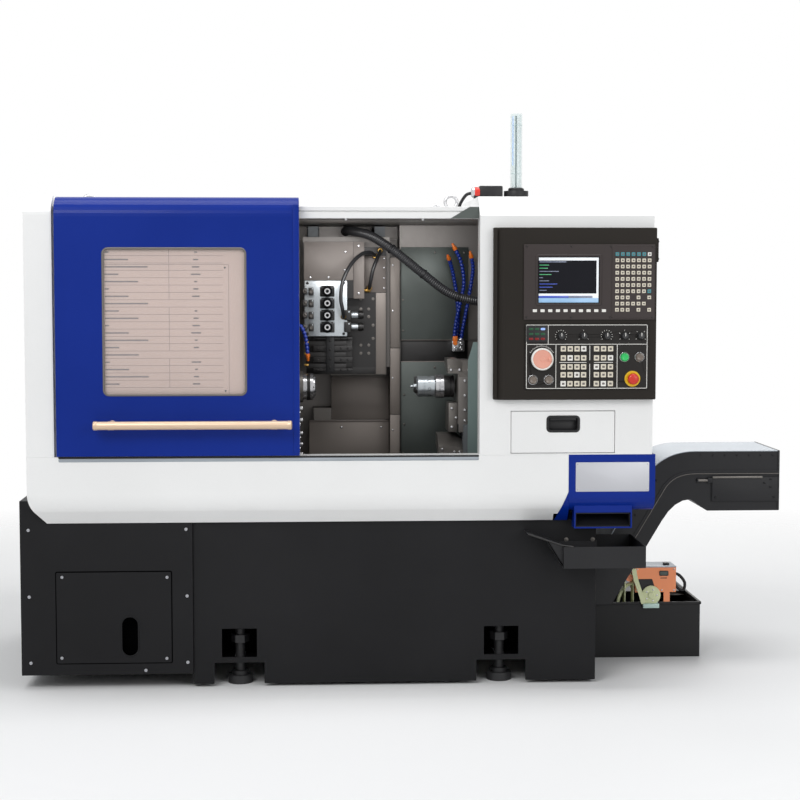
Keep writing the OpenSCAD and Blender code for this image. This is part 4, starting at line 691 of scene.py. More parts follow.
bm = bmesh.new()
screen_x = inset((screen_low.x, screen_high.x), 2)
screen_z = inset((screen_low.z, screen_high.z), 2)
rim(bm, screen_x, screen_z, 9, KEY_Y + 2, KEY_Y - 3, 3, 2)
pad_low, pad_high = on_console(0.722, 0.478), on_console(0.983, 0.894)
rim(bm, (pad_low.x, pad_high.x), (pad_low.z, pad_high.z), 2, KEY_Y + 1, KEY_Y - 1.2, 3, 0.6)
screws(bm, [within(display_low, display_high, x_share, z_share)
            for x_share in (0.02, 0.36, 0.66, 0.98) for z_share in (0.03, 0.97)], KEY_Y, 6, 1)
piece("console_bezels", bm, ["panel_film", "dark_steel"])

# Printed lines, as shares of the operator panel
LINES = [
    ((0.012, 0.988), (0.985, 0.985)), ((0.012, 0.988), (0.015, 0.015)), ((0.012, 0.988), (0.69, 0.69)),
    ((0.012, 0.012), (0.015, 0.985)), ((0.988, 0.988), (0.015, 0.985)), ((0.187, 0.187), (0.69, 0.985)),
    ((0.25, 0.25), (0.015, 0.69)), ((0.746, 0.746), (0.015, 0.69)), ((0.524, 0.524), (0.45, 0.665)),
    ((0.524, 0.524), (0.05, 0.387)), ((0.28, 0.495), (0.412, 0.412)), ((0.56, 0.71), (0.412, 0.412)),
]
LINE_HALF = 1.0
KNOB_XS = [0.411, 0.550, 0.692, 0.802, 0.901]
KNOB_Z = 0.373
KNOB_R = 14
KNOB_L = 22
KNOB_TICKS = [11, 3, 11, 5, 4]
KNOB_SWEEP = 250
WHEEL_AT = on_console(0.294, 0.239)
WHEEL_R = 40
WHEEL_TICKS = 25
WHEEL_STEP = 5


def tick(bm, at, angle, radii, half):
    """A short printed mark that points at a dial's middle."""
    start = len(bm.verts)
    plate(bm, about(0, half), radii, 0.2, -0.35, 0.2, 0.1)
    bm.verts.ensure_lookup_table()
    bmesh.ops.transform(bm, matrix=turn_at(at, math.radians(angle), "Y"), verts=bm.verts[start:])


bm = bmesh.new()
for x_shares, z_shares in LINES:
    (x0, z0), (x1, z1) = (within(operator_low, operator_high, x_shares[k], z_shares[k]) for k in (0, 1))
    line_x, line_z = inset((x0, x1), -LINE_HALF), inset((z0, z1), -LINE_HALF)
    plate(bm, line_x, line_z, KEY_Y + 0.2, KEY_Y - 0.35, 0.5, 0.1)
for x_share, count in zip(KNOB_XS, KNOB_TICKS):
    for k in range(count):
        angle = KNOB_SWEEP * (k / (count - 1) - 0.5)
        tick(bm, on_console(x_share, KNOB_Z), angle, (KNOB_R + 4, KNOB_R + 7.5), 0.8)
for k in range(WHEEL_TICKS):
    angle = WHEEL_STEP * (k - (WHEEL_TICKS - 1) / 2)
    tick(bm, WHEEL_AT, angle, (WHEEL_R + 4, WHEEL_R + (8 if k % 4 else 10)), 0.6)
piece("panel_lines", bm, ["white_plastic", "key_plastic"])

# Screen picture: plain bars as shares of the screen
SCREEN_BARS = [
    ((0, 1), (0.935, 1), "screen_white"), ((0.965, 1), (0.2, 0.935), "screen_white"),
    ((0.01, 0.46), (0.893, 0.915), "screen_grey"), ((0, 1), (0.15, 0.2), "screen_white"),
    ((0, 0.5), (0.105, 0.15), "screen_blue"), ((0.5, 0.9), (0.1, 0.15), "screen_grey"),
    ((0.9, 1), (0.1, 0.15), "screen_white"), ((0, 1), (0, 0.1), "screen_pale"),
] + [((0.01, 0.01 + width), (0.825 - 0.07 * k, 0.841 - 0.07 * k), slot) for k, (width, slot) in enumerate((
    (0.16, "screen_green"), (0.14, "screen_green"), (0.32, "screen_grey"), (0.2, "screen_green"),
    (0.06, "screen_grey"), (0.16, "screen_grey"), (0.3, "screen_blue"), (0.22, "screen_blue"),
    (0.12, "screen_grey")))]
PICTURE_EDGE = Vector((5, 0, 5))
picture_low, picture_high = screen_low + PICTURE_EDGE, screen_high - PICTURE_EDGE
screen_slots = ["screen_glass", "screen_white", "screen_grey", "screen_blue", "screen_pale", "screen_green"]
bm = bmesh.new()
for x_shares, z_shares, slot in SCREEN_BARS:
    corners = [within(picture_low, picture_high, x_shares[k], z_shares[k]) for k in (0, 1)]
    plate(bm, (corners[0][0], corners[1][0]), (corners[0][1], corners[1][1]), screen_low.y + 0.2,
          screen_low.y - 0.3, 0.4, 0.1, screen_slots.index(slot))
piece("screen_picture", bm, screen_slots)

bm = bmesh.new()
led_low, led_high = on_console(0.199, 0.337), on_console(0.328, 0.432)
plate(bm, (led_low.x, led_high.x), (led_low.z, led_high.z), KEY_Y + 1, KEY_Y - 3, 3, 1)
for column in range(3):
    for row in range(3):
        x, z = within(led_low, led_high, 0.22 + 0.28 * column, 0.2 + 0.3 * row)
        lit = 3 if (column, row) == (2, 2) else 1 if row == 0 else 2
        plate(bm, about(x, 8), about(z, 4), KEY_Y - 2.8, KEY_Y - 4.2, 3, 0.8, lit)
piece("status_lights", bm, ["black_plastic", "red_lens", "green_lens", "blue_lens"])

for index, x_share in enumerate(KNOB_XS):
    at = on_console(x_share, KNOB_Z)
    bm = bmesh.new()
    loops = []
    for draw_in, depth in ((0, 1.2), (0, 6), (1.2, 8), (2.6, KNOB_L - 1.5), (4, KNOB_L), (9, KNOB_L)):
        loop = []
        for k in range(48):
            a = 2 * math.pi * k / 48
            r = KNOB_R - draw_in - (0.9 if depth > 6 and k % 4 == 0 else 0)
            loop.append(at + Vector((r * math.cos(a), -depth, r * math.sin(a))))
        loops.append(loop)
    loft(bm, loops)
    top = KEY_Y - KNOB_L
    plate(bm, about(at.x, 1.1), (at.z - 1, at.z + 11), top + 0.5, top - 0.4, 0.5, 0.2, 1)
    body = f"knob_{index + 1}"
    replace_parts(piece(f"rotary_{body}", bm, ["knob_plastic", "white_plastic"], body), body)

wheel_top = KEY_Y - sides_of("handwheel")[0].y
WHEEL_GAP = 7
WHEEL_FACE = 24
CRANK_AT = WHEEL_AT + Vector((0.66 * WHEEL_R, 0, 0))
wheel_ring = [(0, WHEEL_GAP), (37, WHEEL_GAP), (39.4, WHEEL_GAP + 2)]
wheel_ring += [(r, WHEEL_FACE - sink)
               for r, sink in ((39.6, 5), (38, 1.5), (36, 0), (33.4, 1.5), (33, 8))]
wheel_dish = [(r, WHEEL_FACE - sink)
              for r, sink in ((33.2, 3), (31, 1), (20, 2), (9, 2.4), (8, 0.8), (0, 0.4))]
crank = [(r, WHEEL_FACE + rise) for r, rise in ((6.8, -4), (6.8, 2), (5.2, 4))]
crank += [(r, wheel_top - sink) for r, sink in ((6.4, 3), (5.4, 0.8), (3, 0), (0, 0.6))]
bm = bmesh.new()
turned(bm, WHEEL_AT, FRONT, wheel_ring, 1, 64)
turned(bm, WHEEL_AT, FRONT, wheel_dish, 0, 64)
turned(bm, CRANK_AT, FRONT, crank, 0, 28)
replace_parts(piece("handwheel_rim", bm, ["wheel_plastic", "white_plastic"], "handwheel"), "handwheel")

ESTOP_AT = on_console(0.852, 0.123)
ESTOP_R = 20
ESTOP_PLATE = [(11.4, 0.1), (28, 0.1), (28, 2), (27, 3), (13, 3), (11.4, 2.4)]
ESTOP_CAP = [(0, 0.01), (0.52, 0.01), (0.52, 0.36), (0.9, 0.4), (1, 0.5), (0.98, 0.72), (0.86, 0.88),
             (0.6, 0.97), (0.3, 1), (0, 1)]
BUTTON_R = 13.3
BUTTON_RING = [(14, 0.05), (17.4, 0.05), (17.4, 2.6), (16.2, 4), (14, 3.2)]
BUTTON_CAP = [(0, 0.31), (0.97, 0.31), (1, 0.4), (1, 0.86), (0.93, 0.97), (0.8, 1), (0.74, 0.94),
              (0.3, 0.9), (0, 0.9)]
BUTTONS = {
    "start_button": (on_console(0.802, 0.249), "green_plastic"),
    "hold_button": (on_console(0.895, 0.249), "button_lens"),
    "power_on_button": (on_console(0.2405, 0.118), "button_lens"),
    "power_off_button": (on_console(0.337, 0.118), "button_lens"),
}
bm = bmesh.new()
turned(bm, ESTOP_AT, FRONT, ESTOP_PLATE, 1, 64, closed=True)
for at, slot in BUTTONS.values():
    turned(bm, at, FRONT, BUTTON_RING, 0, 48, closed=True)
piece("button_rings", bm, ["button_metal", "yellow_plastic"])


def press_button(node, at, r, profile, slot):
    """A button's cap that goes down with its joint, as shares of its radius and height."""
    top = KEY_Y - sides_of(node)[0].y
    bm = bmesh.new()
    turned(bm, at, FRONT, [(s * r, h * top) for s, h in profile], 0, 48)
    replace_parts(piece(f"{node}_cap", bm, [slot, "button_metal"], node), node)


press_button("emergency_stop", ESTOP_AT, ESTOP_R, ESTOP_CAP, "red_plastic")
for node, (at, slot) in BUTTONS.items():
    press_button(node, at, BUTTON_R, BUTTON_CAP, slot)

# A latch block on the console's right edge, and a strip along its left edge
LATCH_SHARES = (0.80, 0.94)
latch_low, latch_high = (on_console(1, share).z for share in LATCH_SHARES)
bm = bmesh.new()
box(bm, (console_high.x - 2, console_low.y + 6, latch_low),
    (console_high.x + 7, console_low.y + 34, latch_high), 3)
for z in (latch_low + 12, latch_high - 12):
    screw(bm, (console_high.x + 7, console_low.y + 20, z), RIGHT, 8, 1)
box(bm, (console_low.x - 1.2, console_low.y - 1, console_low.z + 4),
    (console_low.x + 12, console_low.y + 3, console_high.z - 4), 0.9)
piece("console_latch", bm, ["console_paint", "dark_steel"])


# Work area: segmented coolant hoses with their manifold

NOZZLE_R = 8
NOZZLE_L = 366
NOZZLE_FEET = [(195, 0, 1234), (222, 0, 1234), (208, 20, 1234), (-427, -240, 1300)]
NOZZLE_WAYS = [
    [(0, 0, 0), (0.014, -0.041, 0.18), (0.055, -0.096, 0.4), (0.09, -0.15, 0.617),
     (0.055, -0.219, 0.836), (-0.027, -0.287, 1)],
    [(0, 0, 0), (0.027, -0.027, 0.18), (0.066, -0.068, 0.4), (0.098, -0.123, 0.617),
     (0.109, -0.205, 0.781), (0.077, -0.287, 0.918)],
    [(0, 0, 0), (0.011, -0.016, 0.235), (-0.005, -0.049, 0.454), (-0.044, -0.109, 0.672),
     (-0.087, -0.191, 0.822), (-0.117, -0.273, 0.891)],
    [(0, 0, 0), (0.046, 0, -0.005), (0.09, 0, -0.087), (0.112, 0, -0.205), (0.123, 0, -0.328)],
]
BEAD_PITCH = 2.4
BEAD = (0.66, 0.88, 1.0, 1.0, 0.92, 0.66)
TIP = [(0, -3), (8.6, -3), (8.6, 7), (6.4, 11), (4.4, 24), (3.2, 25), (2.4, 18), (0, 18)]
MANIFOLD_LOW = (185, -20, 1190)
MANIFOLD_HIGH = (235, 37, 1235)
PLUG = [(0, -1), (6, -1), (6, 2), (4.6, 2.6), (4, 0.4), (0, 0.4)]
TAP = [(0, -1), (5, -1), (5, 12), (9.5, 13), (9.5, 24), (8, 26), (0, 26)]
HOSE_FOOT = [(0, -0.5), (10.5, -0.5), (10.5, 7), (8.5, 9), (0, 9)]

bm = bmesh.new()
for foot, way in zip(NOZZLE_FEET, NOZZLE_WAYS):
    route = [Vector(foot) + NOZZLE_L * Vector(step) for step in way]
    line = even_points(curve_points(route, 16), BEAD_PITCH)[0][:-4]
    swept(bm, line, [NOZZLE_R * BEAD[k % len(BEAD)] for k in range(len(line))], 0, 14)
    turned(bm, line[-1], line[-1] - line[-3], TIP, 1, 18)
    turned(bm, line[0], line[4] - line[0], HOSE_FOOT, 2, 6)
box(bm, MANIFOLD_LOW, MANIFOLD_HIGH, 3, 2)
for x, z in ((199, 1203), (221, 1203), (221, 1222)):
    turned(bm, (x, MANIFOLD_LOW[1], z), FRONT, PLUG, 2, 18)
turned(bm, (196, MANIFOLD_LOW[1], 1224), FRONT, TAP, 1, 12)
box(bm, (186, MANIFOLD_LOW[1] - 24, 1230), (206, MANIFOLD_LOW[1] - 14, 1252), 3, 1)
hoses = piece("segmented_hoses", bm, ["nozzle_plastic", "orange_plastic", "bright_steel"], angle=50)
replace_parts(hoses, "coolant_nozzles")

# Bands and the end gland of the cable conduit
BAND_SHARES = (0.44, 0.58, 0.72, 0.84)
BAND_R = 20
BAND = [(18.2, -3), (BAND_R, -2.6), (BAND_R, 2.6), (18.2, 3)]
GLAND = [(18.4, 0.4), (26, 0.4), (27, 3), (27, 14), (23, 17), (23, 30), (20, 33), (18.4, 33)]
bm = bmesh.new()
for share in BAND_SHARES:
    k = round(share * (len(conduit_line) - 1))
    along = conduit_line[k + 2] - conduit_line[k - 2]
    turned(bm, conduit_line[k], along, BAND, 0, 28)
    side = along.cross(Vector(UP)).normalized()
    knot = conduit_line[k] - BAND_R * side
    box(bm, knot - Vector((4, 5, 4)), knot + Vector((4, 3, 4)), 1, 0)
turned(bm, conduit_line[-1], conduit_line[-7] - conduit_line[-1], GLAND, 1, 24, closed=True)
piece("conduit_bands", bm, ["black_plastic", "dark_steel"])

# Tools on the sliding plate
BLOCK_LOW = Vector((-395, -150.3, 1255))
BLOCK_HIGH = Vector((-230, -40.3, 1470))
TOOL_X = -307
TOOL_ZS = (1429, 1383, 1337, 1291)
SMALL_X = -367
FLANGE = 5
SIDE_Y = -114.3
TURN_LOW = Vector((-360, -130.3, 1120))
TURN_HIGH = Vector((-210, -40.3, 1251))
TURN_SLOT = 24
CLAMP_XS = (-344, -318, -286, -254, -228)
TURN_PITCH = (TURN_HIGH.z - TURN_LOW.z) / 3
BIT_OUT = 36
SMALL_TOOL = [(0, 0), (7, 0), (7, 4), (5, 5), (4, 2), (0, 2)]
LARGE_TOOL = [(0, 0), (7.5, 0), (7.5, 4), (6, 5), (4, 2), (0, 2)]
SIDE_SHANK = [(12, 17), (12, 44), (0, 44)]
SIDE_NUT = [(0, 42), (15, 42), (16.5, 44), (16.5, 54), (15, 57), (15, 63), (8, 64), (7, 58), (0, 58)]
COLLET_NUT = [(0, 5.3), (21, 5.3), (22.4, 7), (22.4, 14), (20, 15), (20, 28), (17, 33), (13, 35.5),
              (12.4, 30), (0, 30)]
COLLET = [(11.6, 29), (11, 34), (6.4, 34), (5.6, 30), (0, 30)]

bm = bmesh.new()
box(bm, BLOCK_LOW, BLOCK_HIGH, 4, 0)
for z in TOOL_ZS:
    box(bm, (TOOL_X - 28, BLOCK_LOW.y - FLANGE, z - 21), (TOOL_X + 28, BLOCK_LOW.y + 1, z + 21), 3, 1)
    screws(bm, [(TOOL_X - 25, z + 17), (TOOL_X + 25, z + 17)], BLOCK_LOW.y - FLANGE, 5)
    box(bm, (SMALL_X - 36, BLOCK_LOW.y - 16, z - 13), (SMALL_X - 17, BLOCK_LOW.y + 8, z + 13), 4, 1)
    turned(bm, (SMALL_X - 27, BLOCK_LOW.y - 14, z), FRONT, SMALL_TOOL, 2, 18)
    box(bm, (SMALL_X - 12, BLOCK_LOW.y - 22, z - 16), (SMALL_X + 8, BLOCK_LOW.y + 1, z + 14), 3, 1)
    turned(bm, (SMALL_X - 2, BLOCK_LOW.y - 21, z - 2), FRONT, LARGE_TOOL, 2, 18)
    screw(bm, (SMALL_X + 3, BLOCK_LOW.y - 22, z + 9), FRONT, 5, 0)
for z in TOOL_ZS[2:]:
    box(bm, (BLOCK_HIGH.x - 12, BLOCK_LOW.y - 8, z - 20), (BLOCK_HIGH.x + 14, SIDE_Y + 18, z + 20), 3, 1)
    screw(bm, (BLOCK_HIGH.x + 6, BLOCK_LOW.y - 8, z + 12), FRONT, 7, 0)
    turned(bm, (BLOCK_HIGH.x, SIDE_Y, z), RIGHT, SIDE_SHANK, 0, 28)
    turned(bm, (BLOCK_HIGH.x, SIDE_Y, z), RIGHT, SIDE_NUT, 1, 28)
for x in (BLOCK_LOW.x + 12, BLOCK_HIGH.x - 14):
    screws(bm, [(x, BLOCK_LOW.z + 10), (x, BLOCK_HIGH.z - 10)], BLOCK_LOW.y + 1, 11, 1)
box(bm, TURN_LOW + Vector((0, TURN_SLOT, 0)), TURN_HIGH, 2, 1)
slot_zs = [TURN_LOW.z + TURN_PITCH * (k + 0.25) for k in range(3)]
jaw_zs = [TURN_LOW.z] + [z + TURN_SLOT for z in slot_zs]
for z0, z1 in zip(jaw_zs, slot_zs + [TURN_HIGH.z]):
    box(bm, (TURN_LOW.x, TURN_LOW.y, z0), (TURN_HIGH.x, TURN_LOW.y + TURN_SLOT + 1, z1), 1.5, 1)
    screws(bm, [(x, (z0 + z1) / 2) for x in CLAMP_XS], TURN_LOW.y + 0.6, min(8, 0.8 * (z1 - z0)), 1)
box(bm, (-312, TURN_LOW.y - 12, TURN_LOW.z - 4), (-280, TURN_LOW.y + 4, TURN_HIGH.z + 2), 2, 4)
screws(bm, [(-296, z) for z in (1136, 1170, 1204, 1238)], TURN_LOW.y - 12, 9, 1)
for z in slot_zs:
    box(bm, (TURN_LOW.x - BIT_OUT + 10, TURN_LOW.y + 6, z),
        (TURN_HIGH.x - TURN_SLOT, TURN_LOW.y + TURN_SLOT, z + 18), 1, 1)
    box(bm, (TURN_LOW.x - BIT_OUT, TURN_LOW.y + 5, z + 9),
        (TURN_LOW.x - BIT_OUT + 16, TURN_LOW.y + 15, z + 17), 1, 3)
block_slots = ["block_steel", "dark_steel", "cover_steel", "brass", "black_plastic"]
holders = piece("tool_blocks", bm, block_slots, "tool_plate")
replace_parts(holders, "tool_holders")

for index, z in enumerate(TOOL_ZS):
    at = Vector((TOOL_X, BLOCK_LOW.y, z))
    bm = bmesh.new()
    turned(bm, at, FRONT, COLLET_NUT, 0, 36)
    turned(bm, at, FRONT, COLLET, 1, 28)
    for k in range(6):
        box(bm, (-5.5, -27, 17), (5.5, -14.5, 21.8), 0.8, 0, move=turn_at(at, math.pi * k / 3, "Y"))
    body = f"live_tool_{index + 1}"
    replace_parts(piece(f"collet_nut_{index + 1}", bm, ["black_steel", "bright_steel"], body), body)

# Sheet cover and screws on the sliding plate
COVER_LOW = Vector((-396, -101.8, 1470.5))
COVER_HIGH = Vector((-163.8, -40.3, 1619.5))
FOLD_X = -206
LEG_Z = 1400
SHEET = 1.4
PLATE_Y = -40.3
COVER_SCREWS = [(-236, 1581), (-238, 1510), (-302, 1482), (-372, 1482), (-185, 1604), (-185, 1420)]
PLATE_BOLTS = [(-175, 1358), (-144, 1358), (-144, 1328), (-127, 1295), (-127, 1243), (-175, 1217),
               (-144, 1217), (-175, 1185), (-144, 1185), (-127, 1398), (-175, 1398)]
BOLT = [(0, 0), (6, 0), (6, 1.6), (5, 2), (3.4, 2), (3, 0.4), (0, 0.4)]
HOSE_ENDS = [(-120, 1565), (-100, 1586), (-142, 1440)]
HOSE_NUT = [(0, -0.2), (12, -0.2), (12, 9), (10.5, 10.5), (10.5, 20), (9, 22), (7.2, 22)]
BLOCK_NUT = [(0, -0.2), (11, -0.2), (11, 8), (9.5, 9.5), (9.5, 18), (7.2, 20)]
ELBOW = [(0, -4), (8.5, -4), (8.5, 14), (6, 16), (6, 26), (0, 26)]

bm = bmesh.new()
plate(bm, (COVER_LOW.x, FOLD_X), (COVER_LOW.z, COVER_HIGH.z), COVER_LOW.y + SHEET, COVER_LOW.y, 2, 0.6)
plate(bm, (FOLD_X + 1, COVER_HIGH.x), (LEG_Z, COVER_HIGH.z), COVER_LOW.y + SHEET, COVER_LOW.y - 2, 2, 0.6)
box(bm, (COVER_HIGH.x - 0.8, COVER_LOW.y - 1, LEG_Z), (COVER_HIGH.x + 1, COVER_HIGH.y, COVER_HIGH.z), 0.4)
for x, z in COVER_SCREWS:
    screw(bm, (x, COVER_LOW.y - (2 if x > FOLD_X else 0), z), FRONT, 9, 1)
box(bm, (COVER_HIGH.x + 1, PLATE_Y - 4, 1424), (-77, PLATE_Y + 0.2, 1566), 0.6)
box(bm, (-116, PLATE_Y - SHEET, 1104), (-77, PLATE_Y + 0.2, 1422), 0.6, 2)
screws(bm, [(-84, z) for z in (1440, 1480, 1520, 1556)], PLATE_Y - 4, 7, 1)
piece("slide_cover", bm, ["cover_sheet", "bright_steel", "column_sheet"], "tool_plate")

bm = bmesh.new()
box(bm, (-388, PLATE_Y + 0.3, 1104), (-117, -1, 1134), 1, 2)
for x, z in PLATE_BOLTS:
    turned(bm, (x, PLATE_Y, z), FRONT, BOLT, 0, 18)
for x, z in HOSE_ENDS:
    turned(bm, (x, PLATE_Y - 4, z), FRONT, HOSE_NUT, 1, 6)
turned(bm, (-142, PLATE_Y - 8, 1432), LEFT, ELBOW, 1, 18)
turned(bm, (-245, BLOCK_LOW.y, 1330), FRONT, BLOCK_NUT, 1, 6)
piece("plate_fittings", bm, ["cover_steel", "brass", "dark_steel"], "tool_plate")

# Spindles
AXIS_Y = -250
AXIS_Z = 1068


def around_axis(x, r, angle):
    """A place and an outward direction on a turned part of the spindle axis."""
    out = Vector((0, math.cos(math.radians(angle)), math.sin(math.radians(angle))))
    return Vector((x, AXIS_Y, AXIS_Z)) + r * out, out


PILOT_X = 6
PILOT_SIDES = 56
CENTRE = [(0, 0), (4, 0), (5.5, 1.5), (5.5, 10), (10.8, 13), (10.8, 23.5)]
CHUCK = [(10, 23), (31, 23), (36, 25.5), (39.4, 29), (39.4, 50), (38, 51), (38, 54), (39.4, 55),
         (39.4, 91), (25, 91), (25, 95)]
COLLAR = [(24, 94), (43, 94), (45, 96), (45, 108), (43.6, 109), (43.6, 113), (45, 114), (45, 127),
          (43, 129)]
SLEEVE = [(40, 128), (42, 129), (42, 150), (40, 151.5), (40, 155), (42, 156), (42, 166), (0, 167)]
CHUCK_SCREW = [(0, 0), (6, 0), (6, 0.9), (4.6, 0.9), (4, -1.5), (0, -1.5)]
COLLAR_SCREW = [(0, 0), (4, 0), (4, 0.6), (3, 0.6), (2.6, -1), (0, -1)]
bm = bmesh.new()
pilot = (PILOT_X, AXIS_Y, AXIS_Z)
turned(bm, pilot, RIGHT, CENTRE, 0, 28)
for mat, profile in enumerate((CHUCK, COLLAR, SLEEVE)):
    turned(bm, pilot, RIGHT, profile, mat, PILOT_SIDES)
for k in range(3):
    box(bm, (15, -7, 12), (29, 7, 37), 1.5, 2, move=turn_at(pilot, 2 * math.pi * k / 3, "X"))
for k in range(8):
    place, out = around_axis(PILOT_X + 72, 38.6, 45 * k + 12)
    turned(bm, place, out, CHUCK_SCREW, 2, 14)
    place, out = around_axis(PILOT_X + 121, 44.4, 45 * k)
    turned(bm, place, out, COLLAR_SCREW, 2, 12)
chuck = piece("sub_spindle_chuck", bm, ["block_steel", "bright_steel", "dark_steel"], "sub_spindle")
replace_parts(chuck, "sub_spindle")

NOSE_RING = [(22, -6), (40, -6), (40, 6), (37, 9), (26, 11), (22, 8)]
NOSE_BAND = [(49.5, -24), (51.4, -23), (51.4, -12), (49.5, -11)]
nose_high = sides_of("main_spindle")[1].x
bm = bmesh.new()
nose = (nose_high, AXIS_Y, AXIS_Z)
turned(bm, nose, RIGHT, NOSE_RING, 0, PILOT_SIDES, closed=True)
turned(bm, nose, RIGHT, NOSE_BAND, 1, PILOT_SIDES)
for y, z in ring_places(6, 45):
    screw(bm, (nose_high, AXIS_Y + y, AXIS_Z + z), RIGHT, 7, 1)
piece("spindle_collet", bm, ["bright_steel", "dark_steel"], "main_spindle")

# Guard plates on the sub-spindle slide
slide_low = sides_of("sub_slide")[0]
GUARD_X = slide_low.x - 38
HOOD = [(-352, 1122), (-352, 1138), (-318, 1176), (-190, 1176), (-190, 1150), (-300, 1122)]
HOOD_Y = -352
FACE_Y = -354
COVER_Y = -338
FOOT_Y = -346
FOOT_ROWS = [(FOOT_Y, 806, 846), (-300, 806, 884), (-200, 846, 890)]
bm = bmesh.new()
loft(bm, [[(x, y, z + drop) for y, z in HOOD]
          for x, drop in ((GUARD_X, 0), (slide_low.x, 0), (slide_low.x + 66, -44))], 0)
box(bm, (GUARD_X + 4, COVER_Y, 900), (slide_low.x, -176, 1010), 3, 0)
foot_x = (GUARD_X - 34, slide_low.x, slide_low.x + 30)
loft(bm, [[(foot_x[0], y, z0), (foot_x[2], y, z0), (foot_x[2], y, z1 - 26), (foot_x[1], y, z1),
           (foot_x[0], y, z1)] for y, z0, z1 in FOOT_ROWS])
face_x = (slide_low.x + 3, slide_low.x + 50)
plate(bm, face_x, (slide_low.z - 30, 1108), slide_low.y, slide_low.y - 4, 3, 1, 1)
screws(bm, [(x, 1136) for x in (GUARD_X + 12, GUARD_X + 44, slide_low.x + 40)], HOOD_Y, 11, 2)
screws(bm, [(slide_low.x + 26, z) for z in (1095, 1040, 985, 945, 912)], FACE_Y, 11, 2)
screws(bm, [(GUARD_X + 16, 990), (GUARD_X + 16, 920), (GUARD_X + 32, 955)], COVER_Y, 11, 2)
screws(bm, [(GUARD_X - 20, 836), (GUARD_X - 20, 818), (slide_low.x - 12, 826), (slide_low.x + 8, 826)],
       FOOT_Y, 11, 2)
piece("sub_slide_guards", bm, ["cover_steel", "lining_steel", "bright_steel"], "sub_slide")

# Sheets and screws of the lining
WALL_X = (-15, 252)
WALL_Y = 23
BAND_Z = (1148, 1236)
WALL_SCREWS = [(-6, 1393), (-6, 1272), (-2, 1018), (-2, 900), (-6, 785)]
WALL_SCREWS += [(x, z) for z in (1580, 1126) for x in (120, 236)]

bm = bmesh.new()
for z0, z1 in ((BAND_Z[1], 1601), (663, BAND_Z[0])):
    box(bm, (WALL_X[0], WALL_Y, z0), (WALL_X[1], WALL_Y + 5, z1), 0.8)
screws(bm, WALL_SCREWS, WALL_Y + 0.2, 9, 1)
# The dark sheet at the back of the recessed band is painted shade, and the pale strips at its edges are
# painted highlights
box(bm, (WALL_X[0], WALL_Y + 12, BAND_Z[0] - 8), (WALL_X[1], WALL_Y + 14.4, BAND_Z[1] + 4), 0.4, 2)
for z in (BAND_Z[0] + 1, BAND_Z[1] - 1):
    box(bm, (WALL_X[0], WALL_Y + 1, z - 2), (WALL_X[1], WALL_Y + 13, z + 2), 1, 3)
piece("wall_panels", bm, ["wall_sheet", "cover_steel", "dark_steel", "cover_sheet"])

COLUMN_X = (-58, -20.6)
LOW_SHEET_X = (-378, -59)
MID_SHEET_X = (-289, -59)
bm = bmesh.new()
for z0, z1 in ((640, 940), (942, 1203), (1205, 1560)):
    box(bm, (COLUMN_X[0], 0, z0), (COLUMN_X[1], 61, z1), 0.8)
screws(bm, [(COLUMN_X[0] + 10, z) for z in (700, 880, 1086, 1350, 1530)], 0.2, 8, 1)
box(bm, (MID_SHEET_X[0], 106.5, 914), (MID_SHEET_X[1], 126, 1084), 1)
box(bm, (LOW_SHEET_X[0], 107.5, 664), (LOW_SHEET_X[1], 111, 909), 1)
box(bm, (LOW_SHEET_X[0], 105, 903), (LOW_SHEET_X[1], 111, 911), 1, 2)
box(bm, (MID_SHEET_X[0], 104, 1080), (MID_SHEET_X[1], 126, 1088), 1, 2)
screws(bm, [(-249, 882), (-249, 700), (-90, 882)], 107.7, 9, 1)
piece("column_sheets", bm, ["column_sheet", "bright_steel", "cover_sheet"])

JAMB = [(256, 1240), (236, 1240), (216, 1170), (216, 780), (256, 780)]
STOP_X = -416
bm = bmesh.new()
# The jamb is in the lighter copy of the lining's sheet: painted light
slab(bm, JAMB, (-364, -366.5))
box(bm, (STOP_X - 14.6, -340, 780), (STOP_X, -250, 1000), 3, 1)
for k, z in enumerate((800, 838, 880, 930, 975)):
    screw(bm, (STOP_X, -320 + 24 * (k % 2), z), RIGHT, 14, 1)
    box(bm, (STOP_X - 2, -300, z + 8), (STOP_X + 14, -280, z + 22), 2, 1)
piece("jamb_fittings", bm, ["painted_light_jamb_sheet", "bright_steel"])


# Front covers: screws, black boxes of painted shade behind the hand slot and the feet, a black rim that
# paints the shadow in the gap round the access panel, plates and the drawer pull

BASE_Y = -612
ACCESS_Y = -616
BASE_SCREWS = [(-1382, 579), (-821, 579), (-1382, 338), (-819, 337), (-1379, 98), (-818, 95), (-969, 67)]
ACCESS_SCREWS = [(-1264, 409), (-890, 406), (-1268, 116), (-893, 111)]
ACCESS_X = (-1285, -876)
ACCESS_Z = (96, 425)
SLOT_X = (-1052, -996)
SLOT_Z = (122, 262)
SLOT_BOX_X = (-1066, -982)
SLOT_BOX_Y = (-611, -564)
SLOT_BOX_Z = (104, 280)
SLOT_WALL = 4
FOOT_XS = (-633, 319)
FOOT_BOX_HALF = 92
FOOT_STEM_HALF = 20
FOOT_BOX_Y = (-590, -440)
FOOT_BOX_Z = (98, 233)
FOOT_WALL = 3
SHELL_Y = -675


def block(bm, x, y, z, bevel, mat=0):
    """A box given by its span on each axis."""
    box(bm, (x[0], y[0], z[0]), (x[1], y[1], z[1]), bevel, mat)


